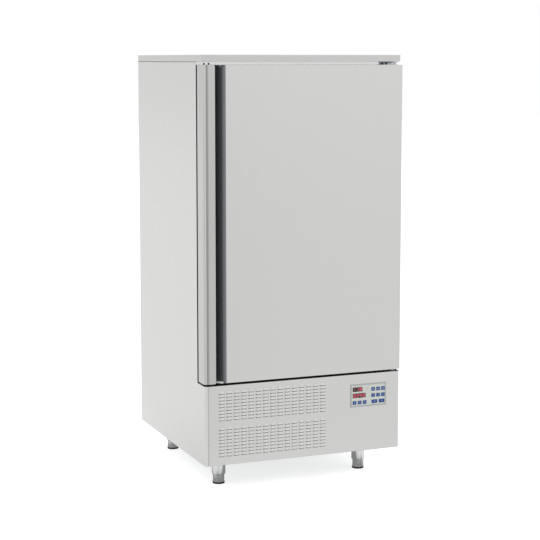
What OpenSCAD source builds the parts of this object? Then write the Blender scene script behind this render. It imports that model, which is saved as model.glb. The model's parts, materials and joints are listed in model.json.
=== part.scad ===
// Upright blast chiller: an insulated steel cabinet with one full-height door over a
// low machine compartment, standing on four adjustable feet.
// Own frame: X to the right, Y to the rear, Z up; the origin is on the floor, under
// the middle of the cabinet. The door faces -Y and is hinged on its right.

/* [Cabinet] */
// Width over the side panels
cab_w = 800; // [760:5:860]
// Depth from the face of the service panel to the face of the rear panel
cab_d = 800; // [770:5:860]
// Height of the cabinet without its feet
cab_h = 1513; // [1500:1:1640]
// Height of the cabinet's underside above the floor
foot_h = 110; // [95:1:140]
// Thickness of the steel sheets
sheet_t = 1; // [0.8:0.1:1.2]
// Thickness of the insulated side walls
wall_t = 60; // [54:1:66]
// Thickness of the insulated rear wall
back_t = 60; // [54:1:70]
// Thickness of the insulated roof, measured from the top of the cover
roof_t = 90; // [84:1:100]
// Thickness of the insulated floor
floor_t = 65; // [60:1:75]
// Height of the top cover's skirt
cover_h = 25; // [22:1:32]
// Set-back of the top cover behind the face of the service panel
cover_set = 24; // [16:1:34]
// Gap left between sheets that meet edge to edge
seam = 0.3; // [0.2:0.1:0.5]

/* [Service panel] */
// Height of the louvred panel below the door
panel_h = 300; // [290:1:320]
// Outer radius of its two upright corners
panel_r = 16; // [8:1:20]
// Depth of its top flange
panel_top_d = 66; // [50:1:70]
// Depth of its bottom flange
panel_bottom_d = 20; // [12:1:26]

/* [Louvres] */
// Number of louvre columns
louvre_cols = 15; // [8:1:15]
// Number of louvre rows in each of the two blocks
louvre_rows = 9; // [4:1:9]
// Width of one louvre
louvre_w = 21.5; // [16:0.5:24]
// Distance from one column to the next
louvre_pitch_x = 29.07; // [27:0.01:30]
// Distance from one row to the next
louvre_pitch_z = 12.45; // [11.8:0.05:12.6]
// Height of one louvre's hood
louvre_h = 8.4; // [6:0.1:9.5]
// How far a hood stands out from the panel
louvre_out = 4; // [3:0.1:6]
// Distance from the cabinet's left side to the first column
louvre_left = 55; // [40:1:60]
// Height of the lowest louvre's lip above the cabinet's underside
louvre_low = 34.8; // [28:0.1:40]
// Extra distance between the two blocks, beyond one row pitch
louvre_block_gap = 23.55; // [15:0.05:28]

/* [Door] */
// Set-back of the door's face behind the face of the service panel
door_set = 4.5; // [3:0.5:7]
// Thickness of the door
door_t = 65; // [60:1:70]
// Gap between the service panel and the door
door_low_gap = 7; // [6.6:0.1:9]
// Gap between the door and the top cover
door_top_gap = 12; // [11.2:0.1:14]
// Distance from the door's back to the cabinet's face, filled by the gasket
gasket_h = 14.5; // [12:0.1:16]
// Width of the gasket
gasket_w = 22; // [18:1:24]
// Distance from the gasket's outer edge to the cabinet's side
gasket_in = 26; // [25:1:30]
// How far the inner door panel's raised field stands out
field_h = 8; // [4:1:9]

/* [Handle] */
// Width of the pull lip along the door's left edge
lip_w = 46.5; // [40:0.5:52]
// Width of the finger groove beside the lip
groove_w = 40; // [36:0.5:50]
// Depth of the finger groove
groove_d = 38; // [32:1:42]
// Thickness of the lip, front to back
lip_t = 13; // [10:0.5:16]
// Depth of the undercut behind the lip
lip_hook = 12.5; // [8:0.5:16]
// Width of the rounded part of the lip's face
lip_round_w = 24; // [20:1:28]
// Radius of the shallow curve beside the lip's flat
lip_soft_r = 62; // [50:2:80]
// Angle that the shallow curve turns through before the tight corner
lip_soft_a = 12; // [8:1:14]
// Radius of the lip's free corners at its two ends
lip_corner_r = 8; // [4:0.5:9]
// Wall of the handle profile
handle_t = 1.5; // [1.2:0.1:2]
// Thickness of the caps that close the groove at both ends
handle_cap_t = 6; // [4:0.5:10]

/* [Hinges] */
// Distance from the hinge axis to the cabinet's right side
hinge_in = 24; // [22:1:25]
// Distance from the hinge axis back to the face of the door
hinge_back = 19.5; // [17:0.5:22]
// Diameter of the hinge pins
pin_d = 10; // [8:0.5:12]
// Length of the hinge pins
pin_l = 30; // [26:1:34]
// Thickness of the hinge brackets
bracket_t = 4; // [3.6:0.1:4.2]
// Width of the hinge arm
arm_w = 22; // [20:1:26]
// Width of the bracket's screwed plate
plate_w = 52; // [46:1:56]
// Flange height of the door bushes
bush_flange = 1.9; // [1.5:0.1:2]
// Length of the door bushes inside the door
bush_l = 24; // [18:1:28]
// Radial running clearance between pin and bush
pin_play = 0.05; // [0.03:0.01:0.1]

/* [Controls] */
// Width of the control unit's bezel
control_w = 151; // [148:0.5:156]
// Height of the bezel
control_h = 89; // [86:0.5:94]
// Distance from the bezel to the cabinet's right side
control_right = 61; // [50:1:70]
// Height of the bezel's lower edge above the cabinet's underside
control_low = 173; // [150:1:190]
// How far the bezel stands out from the panel
bezel_out = 3; // [2.6:0.1:4]
// Width of the bezel's rim
bezel_rim = 4; // [3:0.1:5]
// Depth of the control unit behind the panel's face
control_d = 34; // [26:1:44]
// Width of a small key
key_w = 15; // [12:0.1:16]
// Height of every key
key_h = 13.5; // [11:0.1:15]
// Width of a wide key
wide_key_w = 24; // [20:0.1:25]
// How far a key stands out of the overlay
key_out = 0.7; // [0.5:0.1:0.9]
// Travel of a key
key_travel = 0.6; // [0.4:0.1:0.8]
// Gap around a key or a window
key_gap = 0.3; // [0.2:0.05:0.4]

/* [Feet] */
// Distance from a foot's axis to the cabinet's side
foot_side = 107; // [80:1:120]
// Distance from the front feet's axes to the service panel's face
foot_front = 152; // [140:1:170]
// Distance from the rear feet's axes to the rear panel's face
foot_rear = 91; // [80:1:110]
// Outer diameter of a foot's fixed sleeve
sleeve_d = 52; // [50:1:58]
// Height of the sleeve's lower end above the floor
sleeve_low = 35; // [30:1:45]
// Diameter of the sliding leg
leg_d = 44; // [40:1:45]
// Length of the leg
leg_l = 90; // [80:1:92]
// Radial clearance between leg and sleeve
leg_play = 0.3; // [0.25:0.05:0.4]
// Diameter of the foot pad
pad_d = 46; // [44:1:50]
// Height of the foot pad
pad_h = 7; // [5:0.5:10]

/* [Chamber] */
// Distance from one tray level to the next; the rack has as many levels as the chamber holds
tray_pitch = 100; // [75:1:120]
// Height of the lowest tray runner above the chamber floor
tray_low = 50; // [40:1:60]
// Distance from the chamber's wall to a runner's web, which leaves 610 mm for 600 x 400 mm trays
rack_side = 35; // [32:1:38]
// Width of a runner's ledge
ledge_w = 22; // [18:1:26]
// Height of a runner's web
runner_h = 20; // [16:1:26]
// Thickness of the rack's sheet
rack_t = 1.5; // [1.2:0.1:2]
// Depth of the rack, front to back
rack_d = 400; // [380:1:410]
// Distance from the chamber's rear wall to the fan panel's face
fan_panel_out = 200; // [196:1:210]
// Distance from the chamber's wall to the side of the fan panel
fan_panel_side = 40; // [30:1:60]
// Gap above and below the fan panel, where the air goes round
air_gap = 60; // [50:1:90]

/* [Fans and refrigeration] */
// Diameter of the three axial fans
fan_d = 250; // [230:5:254]
// Gap between the blade tips and the ring
tip_gap = 5; // [3:0.5:8]
// Depth of the fan ring
ring_d = 38; // [32:1:42]
// Diameter of a fan's shaft
shaft_d = 8; // [6:1:10]
// Diameter of a fan motor
motor_d = 76; // [60:2:84]
// Length of a fan motor
motor_l = 42; // [36:1:44]
// Depth of the evaporator coil
evap_d = 100; // [90:1:106]
// Height of the evaporator coil
evap_h = 860; // [700:10:880]
// Distance from the fan panel's side to the evaporator coil, where the pipes go up
evap_side = 50; // [48:1:70]
// Width of the condenser coil
cond_w = 400; // [340:5:410]
// Distance from the cabinet's left side to the condenser coil
cond_left = 70; // [40:1:80]
// Height of the condenser coil
cond_h = 260; // [240:5:266]
// Depth of the condenser coil
cond_d = 60; // [50:1:66]
// Diameter of the compressor's shell
comp_d = 190; // [160:5:200]
// Height of the compressor's shell
comp_h = 200; // [170:5:220]
// Width of the electrical box
ebox_w = 150; // [120:5:160]
// Depth of the electrical box
ebox_d = 60; // [50:1:80]
// Height of the electrical box
ebox_h = 150; // [120:5:180]

/* [Hidden] */
$fn = 64;
play = 0.3;          // gap between parts of different bodies at rest
eps = 0.5;           // how far a cutting shape passes the face that it cuts

// Screws: pan heads with a plain shank
screw_head_d = 7;
screw_head_h = 2;
screw_d = 3.8;
screw_hole_d = 4.2;
rear_screw_l = 12;
fan_screw_l = 10;

// Planes of the cabinet
half_w = cab_w / 2;
y_face = -(cab_d + louvre_out + screw_head_h) / 2 + louvre_out;
y_rear = y_face + cab_d;
y_door = y_face + door_set;
y_door_back = y_door + door_t;
y_body = y_door_back + gasket_h;
z_base = foot_h;
z_top = z_base + cab_h;
z_cover = z_top - cover_h;
z_panel = z_base + panel_h;
z_door = z_panel + door_low_gap;
z_door_top = z_cover - door_top_gap;

// Insulated body and chamber
frame_t = 2;
deck_drop = 5;
z_deck = z_panel - deck_drop;
z_floor = z_deck + floor_t;
z_ceiling = z_top - roof_t;
y_back = y_rear - back_t;
x_wall = half_w - wall_t;
y_liner = y_body + frame_t;
z_frame_low = z_deck - 20;
fan_panel_w = 2 * (x_wall - fan_panel_side);
evap_w = fan_panel_w - 2 * evap_side;

// Hinge axis, and the upper face of the lower arm and the lower face of the upper one
x_hinge = half_w - hinge_in;
y_hinge = y_door + hinge_back;
z_low_arm = z_door - bush_flange - play;
z_high_arm = z_cover - 0.5 - bracket_t;

// Machine compartment
pan_t = 1.5;
z_pan = z_base + pan_t;
pan_edge_h = 18;
x_liquid = evap_w / 2 + 18;
x_suction = evap_w / 2 + 36;
pipe_hole_d = x_suction - x_liquid + 26;
x_pipes = (x_liquid + x_suction) / 2;
y_pipes = y_back - evap_d / 2;

// Fan stations: the plate's rear face, the axis and the coil beyond it
y_fan_panel = y_back - fan_panel_out;
fan_plate_t = 1.2;
z_fan_low = z_floor + air_gap;
z_fan_high = z_ceiling - air_gap;
z_fan_1 = z_fan_low + (z_fan_high - z_fan_low) * 0.27;
z_fan_2 = z_fan_low + (z_fan_high - z_fan_low) * 0.73;
ring_wall = 1.2;
ring_id = fan_d + 2 * tip_gap;
motor_bar_t = 3;
motor_bar_w = 24;
motor_bar_l = ring_id + 30;
x_cond = -half_w + cond_left + cond_w / 2;
z_cond = z_pan + (z_deck - z_pan) / 2;
y_cond = y_body + frame_t + 14;
cond_plate_gap = 4;
y_shroud = y_cond + cond_d + cond_plate_gap;

// Feet
foot_xs = [-half_w + foot_side, half_w - foot_side];
foot_ys = [y_face + foot_front, y_rear - foot_rear];
stud_d = 12;
stud_up = 14;
foot_nut_d = 22;
foot_nut_h = 10;
sleeve_cap_t = 6;
sleeve_chamfer = 3;

// Control unit: its left and lower edges, then the layers from front to back
x_control = half_w - control_right - control_w;
z_control = z_base + control_low;
overlay_t = 1;
y_bezel = y_face - bezel_out;
y_overlay = y_bezel + 0.9;
key_flange = 0.6;
key_flange_t = 1.2;
y_key_deck = y_overlay + overlay_t + key_flange_t + key_travel + play;
key_deck_t = 1.6;

// Left edge and vertical centre of each key, measured from the bezel's upper left corner
key_low_y = control_h - 17;
key_mid_y = 47.6;
key_high_y = 23.4;
left_key_xs = [for (centre = [17.1, 38.6, 59.9]) centre - key_w / 2];
right_key_xs = [for (centre = [55.2, 34.3, 13.7]) control_w - centre - key_w / 2];
wide_key_xs = [for (centre = [49.7, 19]) control_w - centre - wide_key_w / 2];
// Display windows: left edge, centre, width and height
upper_display = [9.2, 20.4, 41.1, 17.6];
lower_display = [9.2, 44.5, 54.8, 18.2];
// Signal lamps: their centres and size
lamps = [[56.7, 17.5], [68, 17.5], [68, 26.5]];
lamp_w = 5.5;
lamp_h = 2.6;

// ---- Shared shapes ----

// A box given by its two corners
module block(low, high) {
    translate(low) cube(high - low);
}

// A rectangular ring in the XZ plane, from y0 to y1
module ring_xz(x, z0, z1, w, y0, y1) {
    difference() {
        block([-x, y0, z0], [x, y1, z1]);
        block([-x + w, y0 - eps, z0 + w], [x - w, y1 + eps, z1 - w]);
    }
}

// A round bar along Y, from y0 to y1
module bar_y(x, z, d, y0, y1) {
    translate([x, y0, z]) rotate([-90, 0, 0]) cylinder(d = d, h = y1 - y0);
}

// A round bar along X, from x0 to x1
module bar_x(y, z, d, x0, x1) {
    translate([x0, y, z]) rotate([0, 90, 0]) cylinder(d = d, h = x1 - x0);
}

// A round bar along Z, from z0 to z1
module bar_z(x, y, d, z0, z1) {
    translate([x, y, z0]) cylinder(d = d, h = z1 - z0);
}

// Points along an arc about c, from angle a0 to a1
function arc(c, r, a0, a1, n = 8) =
    [for (i = [0 : n]) c + r * [cos(a0 + (a1 - a0) * i / n), sin(a0 + (a1 - a0) * i / n)]];

// Unit normal to the left of the step from a to b
function normal(a, b) = let (d = b - a) [-d.y, d.x] / norm(d);

// The path p moved sideways by t, with mitred corners
function offset_path(p, t) = [
    for (i = [0 : len(p) - 1])
        let (n0 = normal(p[max(i - 1, 0)], p[max(i, 1)]),
             n1 = normal(p[min(i, len(p) - 2)], p[min(i + 1, len(p) - 1)]),
             m = n0 + n1)
        p[i] + m * t * 2 / (m * m)
];

// Outline of a sheet of thickness t that follows the path p, on its right side
function bent_sheet(p, t) =
    let (q = offset_path(p, -t)) concat(p, [for (i = [len(q) - 1 : -1 : 0]) q[i]]);

// A plan outline w wide and d deep whose two front corners are round; the front is at y = 0
module round_front(w, d, r) {
    intersection() {
        translate([-w / 2, 0]) square([w, d]);
        union() {
            translate([-w / 2, r]) square([w, d]);
            translate([-w / 2 + r, 0]) square([w - 2 * r, r + eps]);
            for (side = [-1, 1]) translate([side * (w / 2 - r), r]) circle(r = r);
        }
    }
}

// ---- Screws: where they sit and their holes ----

rear_screw_xs = [-half_w + 14, 0, half_w - 14];
rear_screw_zs = [z_base + 30, z_panel - 30, z_panel + 420, z_cover - 30];
hinge_screw_xs = [x_hinge - 26, x_hinge - 8];
z_upper_screw = z_high_arm - screw_head_d / 2 - 0.1;
z_upper_screw_2 = z_upper_screw + 18;
z_lower_screw = z_frame_low + 12;
fan_screw_xs = [-fan_panel_w / 2 + 14, fan_panel_w / 2 - 14];
fan_screw_zs = [z_fan_low + 20, (z_fan_low + z_fan_high) / 2, z_fan_high - 20];

// A screw along Y with its head's underside at y; dir is +1 where the shank goes to +Y
module screw_y(x, y, z, l, dir) {
    bar_y(x, z, screw_head_d, min(y, y - dir * screw_head_h), max(y, y - dir * screw_head_h));
    bar_y(x, z, screw_d, min(y, y + dir * l), max(y, y + dir * l));
}

// ---- Cabinet ----

module side_panel(side) {
    color("gainsboro")
    mirror([side < 0 ? 1 : 0, 0, 0])
    block([half_w - sheet_t, y_body, z_base], [half_w, y_rear, z_cover - seam]);
}

module left_side_panel() { side_panel(-1); }

module right_side_panel() { side_panel(1); }

vent_rows = 9;
vent_pitch = 24;
vent_low = 42;
vent_size = [170, 7];
vent_xs = [-290, -85, 120];

module rear_panel() {
    color("silver")
    difference() {
        block([-half_w + sheet_t, y_rear - sheet_t, z_base], [half_w - sheet_t, y_rear, z_cover - seam]);
        for (x = vent_xs, i = [0 : vent_rows - 1])
            translate([x, y_rear - sheet_t - eps, z_base + vent_low + i * vent_pitch])
            cube([vent_size[0], sheet_t + 2 * eps, vent_size[1]]);
        for (x = rear_screw_xs, z = rear_screw_zs)
            bar_y(x, z, screw_hole_d, y_rear - sheet_t - eps, y_rear + eps);
    }
}

module top_cover() {
    color("whitesmoke")
    difference() {
        block([-half_w, y_face + cover_set, z_cover], [half_w, y_rear, z_top]);
        block([-half_w + sheet_t, y_face + cover_set + sheet_t, z_cover - eps],
              [half_w - sheet_t, y_rear - sheet_t, z_top - sheet_t]);
    }
}

module base_pan() {
    y0 = y_face + panel_bottom_d + seam;
    y1 = y_rear - sheet_t;
    x1 = half_w - sheet_t;
    color("silver")
    difference() {
        union() {
            block([-x1, y_body, z_base], [x1, y1, z_base + pan_edge_h]);
            block([-x1 + seam, y0, z_base], [x1 - seam, y_body + eps, z_pan]);
        }
        block([-x1 + pan_t, y_body - eps, z_pan], [x1 - pan_t, y1 - pan_t, z_base + pan_edge_h + eps]);
        for (x = foot_xs, y = foot_ys) bar_z(x, y, stud_d + 0.5, z_base - eps, z_pan + eps);
        bar_z(x_gland, y_gland, gland_d + 0.4, z_base - eps, z_pan + eps);
        for (m = comp_feet)
            bar_z(m[0], m[1], screw_hole_d + 2, z_base - eps, z_pan + eps);
    }
}

module deck_sheet() {
    color("silver")
    difference() {
        block([-half_w + sheet_t, y_liner, z_deck], [half_w - sheet_t, y_rear - sheet_t, z_deck + sheet_t]);
        bar_z(x_pipes, y_pipes, pipe_hole_d, z_deck - eps, z_deck + sheet_t + eps);
    }
}

module insulation_foam() {
    x1 = half_w - sheet_t;
    y1 = y_rear - sheet_t;
    xi = x_wall + sheet_t;
    color("khaki")
    difference() {
        block([-x1, y_liner, z_deck + sheet_t], [x1, y1, z_top - sheet_t]);
        block([-xi, y_liner - eps, z_floor - sheet_t], [xi, y_back + sheet_t, z_ceiling + sheet_t]);
        bar_z(x_pipes, y_pipes, pipe_hole_d, z_deck, z_floor);
        for (x = rear_screw_xs, z = [rear_screw_zs[2], rear_screw_zs[3]])
            bar_y(x, z, screw_hole_d, y1 - rear_screw_l - 2, y1 + eps);
        for (s = [-1, 1], x = hinge_screw_xs)
            bar_y(s * x, z_upper_screw, screw_hole_d, y_body, y_liner + 14);
        for (x = hinge_screw_xs) bar_y(x, z_upper_screw_2, screw_hole_d, y_body, y_liner + 14);
        for (p = fan_lip_screws) bar_y(p[0], p[1], screw_hole_d, y_back, y_back + fan_screw_l + 2);
    }
}

module liner_side(side) {
    color("lightgray")
    mirror([side < 0 ? 1 : 0, 0, 0])
    block([x_wall, y_liner, z_floor], [x_wall + sheet_t, y_back, z_ceiling]);
}

module liner_left_wall() { liner_side(-1); }

module liner_right_wall() { liner_side(1); }

module liner_back_wall() {
    color("lightgray")
    difference() {
        block([-x_wall - sheet_t, y_back, z_floor], [x_wall + sheet_t, y_back + sheet_t, z_ceiling]);
        for (p = fan_lip_screws) bar_y(p[0], p[1], screw_hole_d, y_back - eps, y_back + sheet_t + eps);
    }
}

module liner_ceiling() {
    xi = x_wall + sheet_t;
    color("lightgray")
    block([-xi, y_liner, z_ceiling], [xi, y_back + sheet_t, z_ceiling + sheet_t]);
}

module liner_floor() {
    xi = x_wall + sheet_t;
    color("lightgray")
    difference() {
        block([-xi, y_liner, z_floor - sheet_t], [xi, y_back + sheet_t, z_floor]);
        bar_z(x_pipes, y_pipes, pipe_hole_d, z_floor - sheet_t - eps, z_floor + eps);
    }
}

// The flat face round the chamber's mouth, which the gasket closes on
module mouth_frame() {
    x1 = half_w - sheet_t;
    color("lightgray")
    difference() {
        block([-x1, y_body, z_frame_low], [x1, y_body + frame_t, z_top - sheet_t]);
        block([-x_wall, y_body - eps, z_floor], [x_wall, y_body + frame_t + eps, z_ceiling]);
        for (s = [-1, 1], x = hinge_screw_xs)
            bar_y(s * x, z_upper_screw, screw_hole_d, y_body - eps, y_body + frame_t + eps);
        for (x = hinge_screw_xs, z = [z_upper_screw_2, z_lower_screw])
            bar_y(x, z, screw_hole_d, y_body - eps, y_body + frame_t + eps);
    }
}

// ---- Service panel with its pressed louvres ----

louvre_t = 1;

// Height of the lip of louvre row i, counted from below
function louvre_z(i) =
    z_base + louvre_low + i * louvre_pitch_z + (i >= louvre_rows ? louvre_block_gap : 0);

// Section of one hood, with its lip at y = -louvre_out and z = 0, extruded along X
module hood(w, section) {
    rotate([90, 0, 90]) linear_extrude(w) polygon(section);
}

// The open hood: a strip that leaves the panel at its top and ends in a free lip
hood_section = [
    [sheet_t, louvre_h], [0, louvre_h], [-louvre_out, louvre_h * 0.35], [-louvre_out, 0],
    [-louvre_out + louvre_t, 0], [-louvre_out + louvre_t, louvre_h * 0.35 - 0.3],
    [sheet_t, louvre_h - 1.4]
];
// The hood's closed end
hood_end_section = [
    [sheet_t, louvre_h], [0, louvre_h], [-louvre_out, louvre_h * 0.35], [-louvre_out, 0], [sheet_t, 0]
];

module louvre(x, z) {
    translate([x, y_face, z]) {
        translate([louvre_t / 2, 0, 0]) hood(louvre_w - louvre_t, hood_section);
        hood(louvre_t, hood_end_section);
        translate([louvre_w - louvre_t, 0, 0]) hood(louvre_t, hood_end_section);
    }
}

module front_service_panel() {
    x0 = -half_w + louvre_left;
    inner_r = panel_r - sheet_t;
    color("gainsboro") {
        difference() {
            union() {
                translate([0, y_face, z_base]) linear_extrude(panel_h)
                difference() {
                    round_front(cab_w, y_body - seam - y_face, panel_r);
                    translate([0, sheet_t]) round_front(cab_w - 2 * sheet_t, y_body - y_face, inner_r);
                }
                for (f = [[z_panel - sheet_t, panel_top_d], [z_base, panel_bottom_d]])
                    translate([0, y_face + 0.3, f[0]]) linear_extrude(sheet_t)
                    round_front(cab_w - 0.6, f[1] - 0.3, panel_r - 0.3);
            }
            // Room for the lower hinge arm in the top flange
            block([x_hinge + plate_over - plate_w - 4, y_face + 2 * sheet_t, z_panel - sheet_t - eps],
                  [half_w - 2 * sheet_t, y_body, z_panel + eps]);
            // Window behind the control unit
            block([x_control + bezel_rim, y_face - eps, z_control + bezel_rim],
                  [x_control + control_w - bezel_rim, y_face + sheet_t + eps,
                   z_control + control_h - bezel_rim]);
            for (c = [0 : louvre_cols - 1], r = [0 : 2 * louvre_rows - 1])
                translate([x0 + c * louvre_pitch_x, y_face - eps, louvre_z(r)])
                cube([louvre_w, sheet_t + 2 * eps, louvre_h]);
        }
        for (c = [0 : louvre_cols - 1], r = [0 : 2 * louvre_rows - 1])
            louvre(x0 + c * louvre_pitch_x, louvre_z(r));
    }
}

// ---- Control unit ----

// A place on the bezel, measured from its upper left corner to the right and down
function control_at(x, down) = [x_control + x, z_control + control_h - down];

// A plate in the control unit given by its left edge, centre height, size and depth range
module control_plate(x, down, w, h, y0, y1, grow = 0) {
    p = control_at(x, down);
    block([p[0] - grow, y0, p[1] - h / 2 - grow], [p[0] + w + grow, y1, p[1] + h / 2 + grow]);
}

small_keys = concat(
    [for (x = right_key_xs) [x, key_high_y, key_w]],
    [for (x = right_key_xs) [x, key_mid_y, key_w]],
    [for (x = left_key_xs) [x, key_low_y, key_w]]
);
all_keys = concat(small_keys, [for (x = wide_key_xs) [x, key_low_y, wide_key_w]]);

module control_housing() {
    inset = bezel_rim;
    rim_slope = 0.6;
    box_wall = 1;
    box_in = inset + 0.2;
    bx0 = x_control + box_in;
    bx1 = x_control + control_w - box_in;
    bz0 = z_control + box_in;
    bz1 = z_control + control_h - box_in;
    color("darkseagreen")
    difference() {
        union() {
            difference() {
                block([x_control, y_bezel, z_control],
                      [x_control + control_w, y_face, z_control + control_h]);
                // The rim's bevel on each side
                for (end = [0, 1])
                    translate([x_control + end * control_w, y_face - rim_slope, z_control - eps])
                    mirror([end, 0, 0]) linear_extrude(control_h + 2 * eps)
                    polygon([[-eps, 0], [0, 0], [inset * 0.6, -bezel_out + rim_slope],
                             [inset * 0.6, -bezel_out - eps], [-eps, -bezel_out - eps]]);
                for (end = [0, 1])
                    translate([x_control - eps, y_face - rim_slope, z_control + end * control_h])
                    mirror([0, 0, end]) rotate([90, 0, 90]) linear_extrude(control_w + 2 * eps)
                    polygon([[0, -eps], [0, 0], [-bezel_out + rim_slope, inset * 0.6],
                             [-bezel_out - eps, inset * 0.6], [-bezel_out - eps, -eps]]);
            }
            block([bx0, y_face - 0.2, bz0], [bx1, y_face + control_d, bz1]);
        }
        // Seat of the overlay, the key space behind it and the box's inside
        block([x_control + inset, y_bezel - eps, z_control + inset],
              [x_control + control_w - inset, y_overlay + overlay_t, z_control + control_h - inset]);
        block([bx0 + box_wall, y_overlay, bz0 + box_wall], [bx1 - box_wall, y_key_deck, bz1 - box_wall]);
        block([bx0 + box_wall, y_key_deck + key_deck_t, bz0 + box_wall],
              [bx1 - box_wall, y_face + control_d + eps, bz1 - box_wall]);
    }
}

module control_overlay() {
    y1 = y_overlay + overlay_t;
    color("honeydew")
    difference() {
        block([x_control + bezel_rim + 0.1, y_overlay, z_control + bezel_rim + 0.1],
              [x_control + control_w - bezel_rim - 0.1, y1, z_control + control_h - bezel_rim - 0.1]);
        for (k = all_keys) control_plate(k[0], k[1], k[2], key_h, y_overlay - eps, y1 + eps, key_gap);
        for (d = [upper_display, lower_display])
            control_plate(d[0], d[1], d[2], d[3], y_overlay - eps, y1 + eps);
        for (l = lamps) control_plate(l[0] - lamp_w / 2, l[1], lamp_w, lamp_h, y_overlay - eps, y1 + eps);
    }
}

module display_windows() {
    color("darkred") {
        for (d = [upper_display, lower_display])
            control_plate(d[0], d[1], d[2], d[3], y_overlay - 0.1, y_key_deck, -0.1);
        for (l = lamps)
            control_plate(l[0] - lamp_w / 2, l[1], lamp_w, lamp_h, y_overlay - 0.1, y_key_deck, -0.1);
    }
}

// A push key: its cap comes through the overlay, its flange stays behind it
module key(i) {
    k = all_keys[i];
    y1 = y_overlay + overlay_t;
    color("royalblue") {
        control_plate(k[0], k[1], k[2], key_h, y_overlay - key_out, y1 + play);
        control_plate(k[0], k[1], k[2], key_h, y1 + play / 2, y1 + key_flange_t, key_flange);
    }
}

module key_high_left() { key(0); }
module key_high_middle() { key(1); }
module key_high_right() { key(2); }
module key_mid_left() { key(3); }
module key_mid_middle() { key(4); }
module key_mid_right() { key(5); }
module key_low_left() { key(6); }
module key_low_middle() { key(7); }
module key_low_right() { key(8); }
module key_wide_left() { key(9); }
module key_wide_right() { key(10); }

// ---- Door ----

// The handle's section, as its path runs from the groove's right edge round the lip to
// the door's back: x from the door's left side, y from the door's face
handle_nose_r = 2;
lip_r = (lip_round_w - lip_soft_r * sin(lip_soft_a)) / (1 - sin(lip_soft_a));
lip_corner_y = lip_soft_r - (lip_soft_r - lip_r) * cos(lip_soft_a);
handle_path = concat(
    [[lip_w + groove_w, 0], [lip_w - 4, groove_d], [lip_w - lip_hook, groove_d - 3],
     [lip_w - lip_hook, lip_t]],
    arc([lip_w - handle_nose_r, lip_t - handle_nose_r], handle_nose_r, 90, 0, 4),
    arc([lip_w - handle_nose_r, handle_nose_r], handle_nose_r, 0, -90, 4),
    arc([lip_round_w, lip_soft_r], lip_soft_r, -90, -90 - lip_soft_a, 3),
    arc([lip_r, lip_corner_y], lip_r, -90 - lip_soft_a, -180, 8),
    [[0, door_t - sheet_t]]
);

module at_door_left() {
    translate([-half_w, y_door, 0]) children();
}

// What is cut off the lip's free corners at the door's two ends to round them
module lip_corners() {
    x = -half_w + lip_w - lip_corner_r;
    for (end = [[z_door, 1], [z_door_top, -1]]) {
        z = end[0] + end[1] * lip_corner_r;
        difference() {
            block([x, y_door - eps, min(z, end[0] - end[1] * eps)],
                  [x + lip_corner_r + eps, y_door + lip_t + eps, max(z, end[0] - end[1] * eps)]);
            bar_y(x, z, 2 * lip_corner_r, y_door - 2 * eps, y_door + lip_t + 2 * eps);
        }
    }
}

module door_handle_profile() {
    color("silver")
    difference() {
        at_door_left() translate([0, 0, z_door]) linear_extrude(z_door_top - z_door)
        difference() {
            polygon(bent_sheet(handle_path, handle_t));
            // The sheet's end is cut square, beside the outer skin
            translate([lip_w + groove_w, -eps]) square([2 * handle_t, 2 * handle_t + eps]);
        }
        lip_corners();
    }
}

// Section of the space behind the handle profile, up to the inner panel
x_core = lip_w + groove_w + 4;
handle_core = concat([[x_core, door_t - sheet_t], [x_core, 3]], offset_path(handle_path, -handle_t));

// End caps: a plate that closes the profile, and a filler on the groove's wall
module door_handle_caps() {
    filler_w = 8;
    start = 0.2;
    wall = [handle_path[0] + start * (handle_path[1] - handle_path[0]), handle_path[1], handle_path[2]];
    front = offset_path(wall, filler_w);
    color("darkgray")
    difference() {
        at_door_left() {
            for (z = [z_door, z_door_top - handle_cap_t])
                translate([0, 0, z]) linear_extrude(handle_cap_t)
                polygon([wall[0], wall[1], wall[2], [wall[2].x, front[2].y], front[2], front[1], front[0]]);
            for (z = [z_door, z_door_top - sheet_t])
                translate([0, 0, z]) linear_extrude(sheet_t)
                intersection() {
                    polygon(handle_core);
                    square([lip_w + groove_w - 1, door_t]);
                }
        }
        lip_corners();
    }
}

x_skin = -half_w + lip_w + groove_w + seam;

module bush_hole(grow, depth) {
    for (z = [[z_door - eps, z_door + depth], [z_door_top - depth, z_door_top + eps]])
        bar_z(x_hinge, y_hinge, bush_od + grow, z[0], z[1]);
}

bush_od = 18;
bush_flange_over = 5;
bush_end_t = 2;

module door_outer_skin() {
    color("gainsboro")
    difference() {
        block([x_skin, y_door, z_door], [half_w, y_door_back - sheet_t - seam, z_door_top]);
        block([x_skin - eps, y_door + sheet_t, z_door + sheet_t],
              [half_w - sheet_t, y_door_back, z_door_top - sheet_t]);
        bush_hole(0.1, 2 * sheet_t);
    }
}

module door_foam() {
    x0 = -half_w + lip_w + groove_w + 3;
    y1 = y_door_back - sheet_t;
    color("khaki")
    difference() {
        union() {
            block([x0, y_door + sheet_t, z_door + sheet_t], [half_w - sheet_t, y1, z_door_top - sheet_t]);
            at_door_left() translate([0, 0, z_door + sheet_t])
            linear_extrude(z_door_top - z_door - 2 * sheet_t)
            polygon(handle_core);
            block([-x_field + sheet_t, y1 - eps, z_field_low + sheet_t],
                  [x_field - sheet_t, y_door_back + field_h - sheet_t, z_field_high - sheet_t]);
        }
        lip_corners();
        bush_hole(0.1, bush_l + 1);
    }
}

// The inner panel's raised field, which stands inside the chamber's mouth
field_in = 16;
x_field = x_wall - field_in;
z_field_low = z_floor + field_in;
z_field_high = z_ceiling - field_in;

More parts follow.
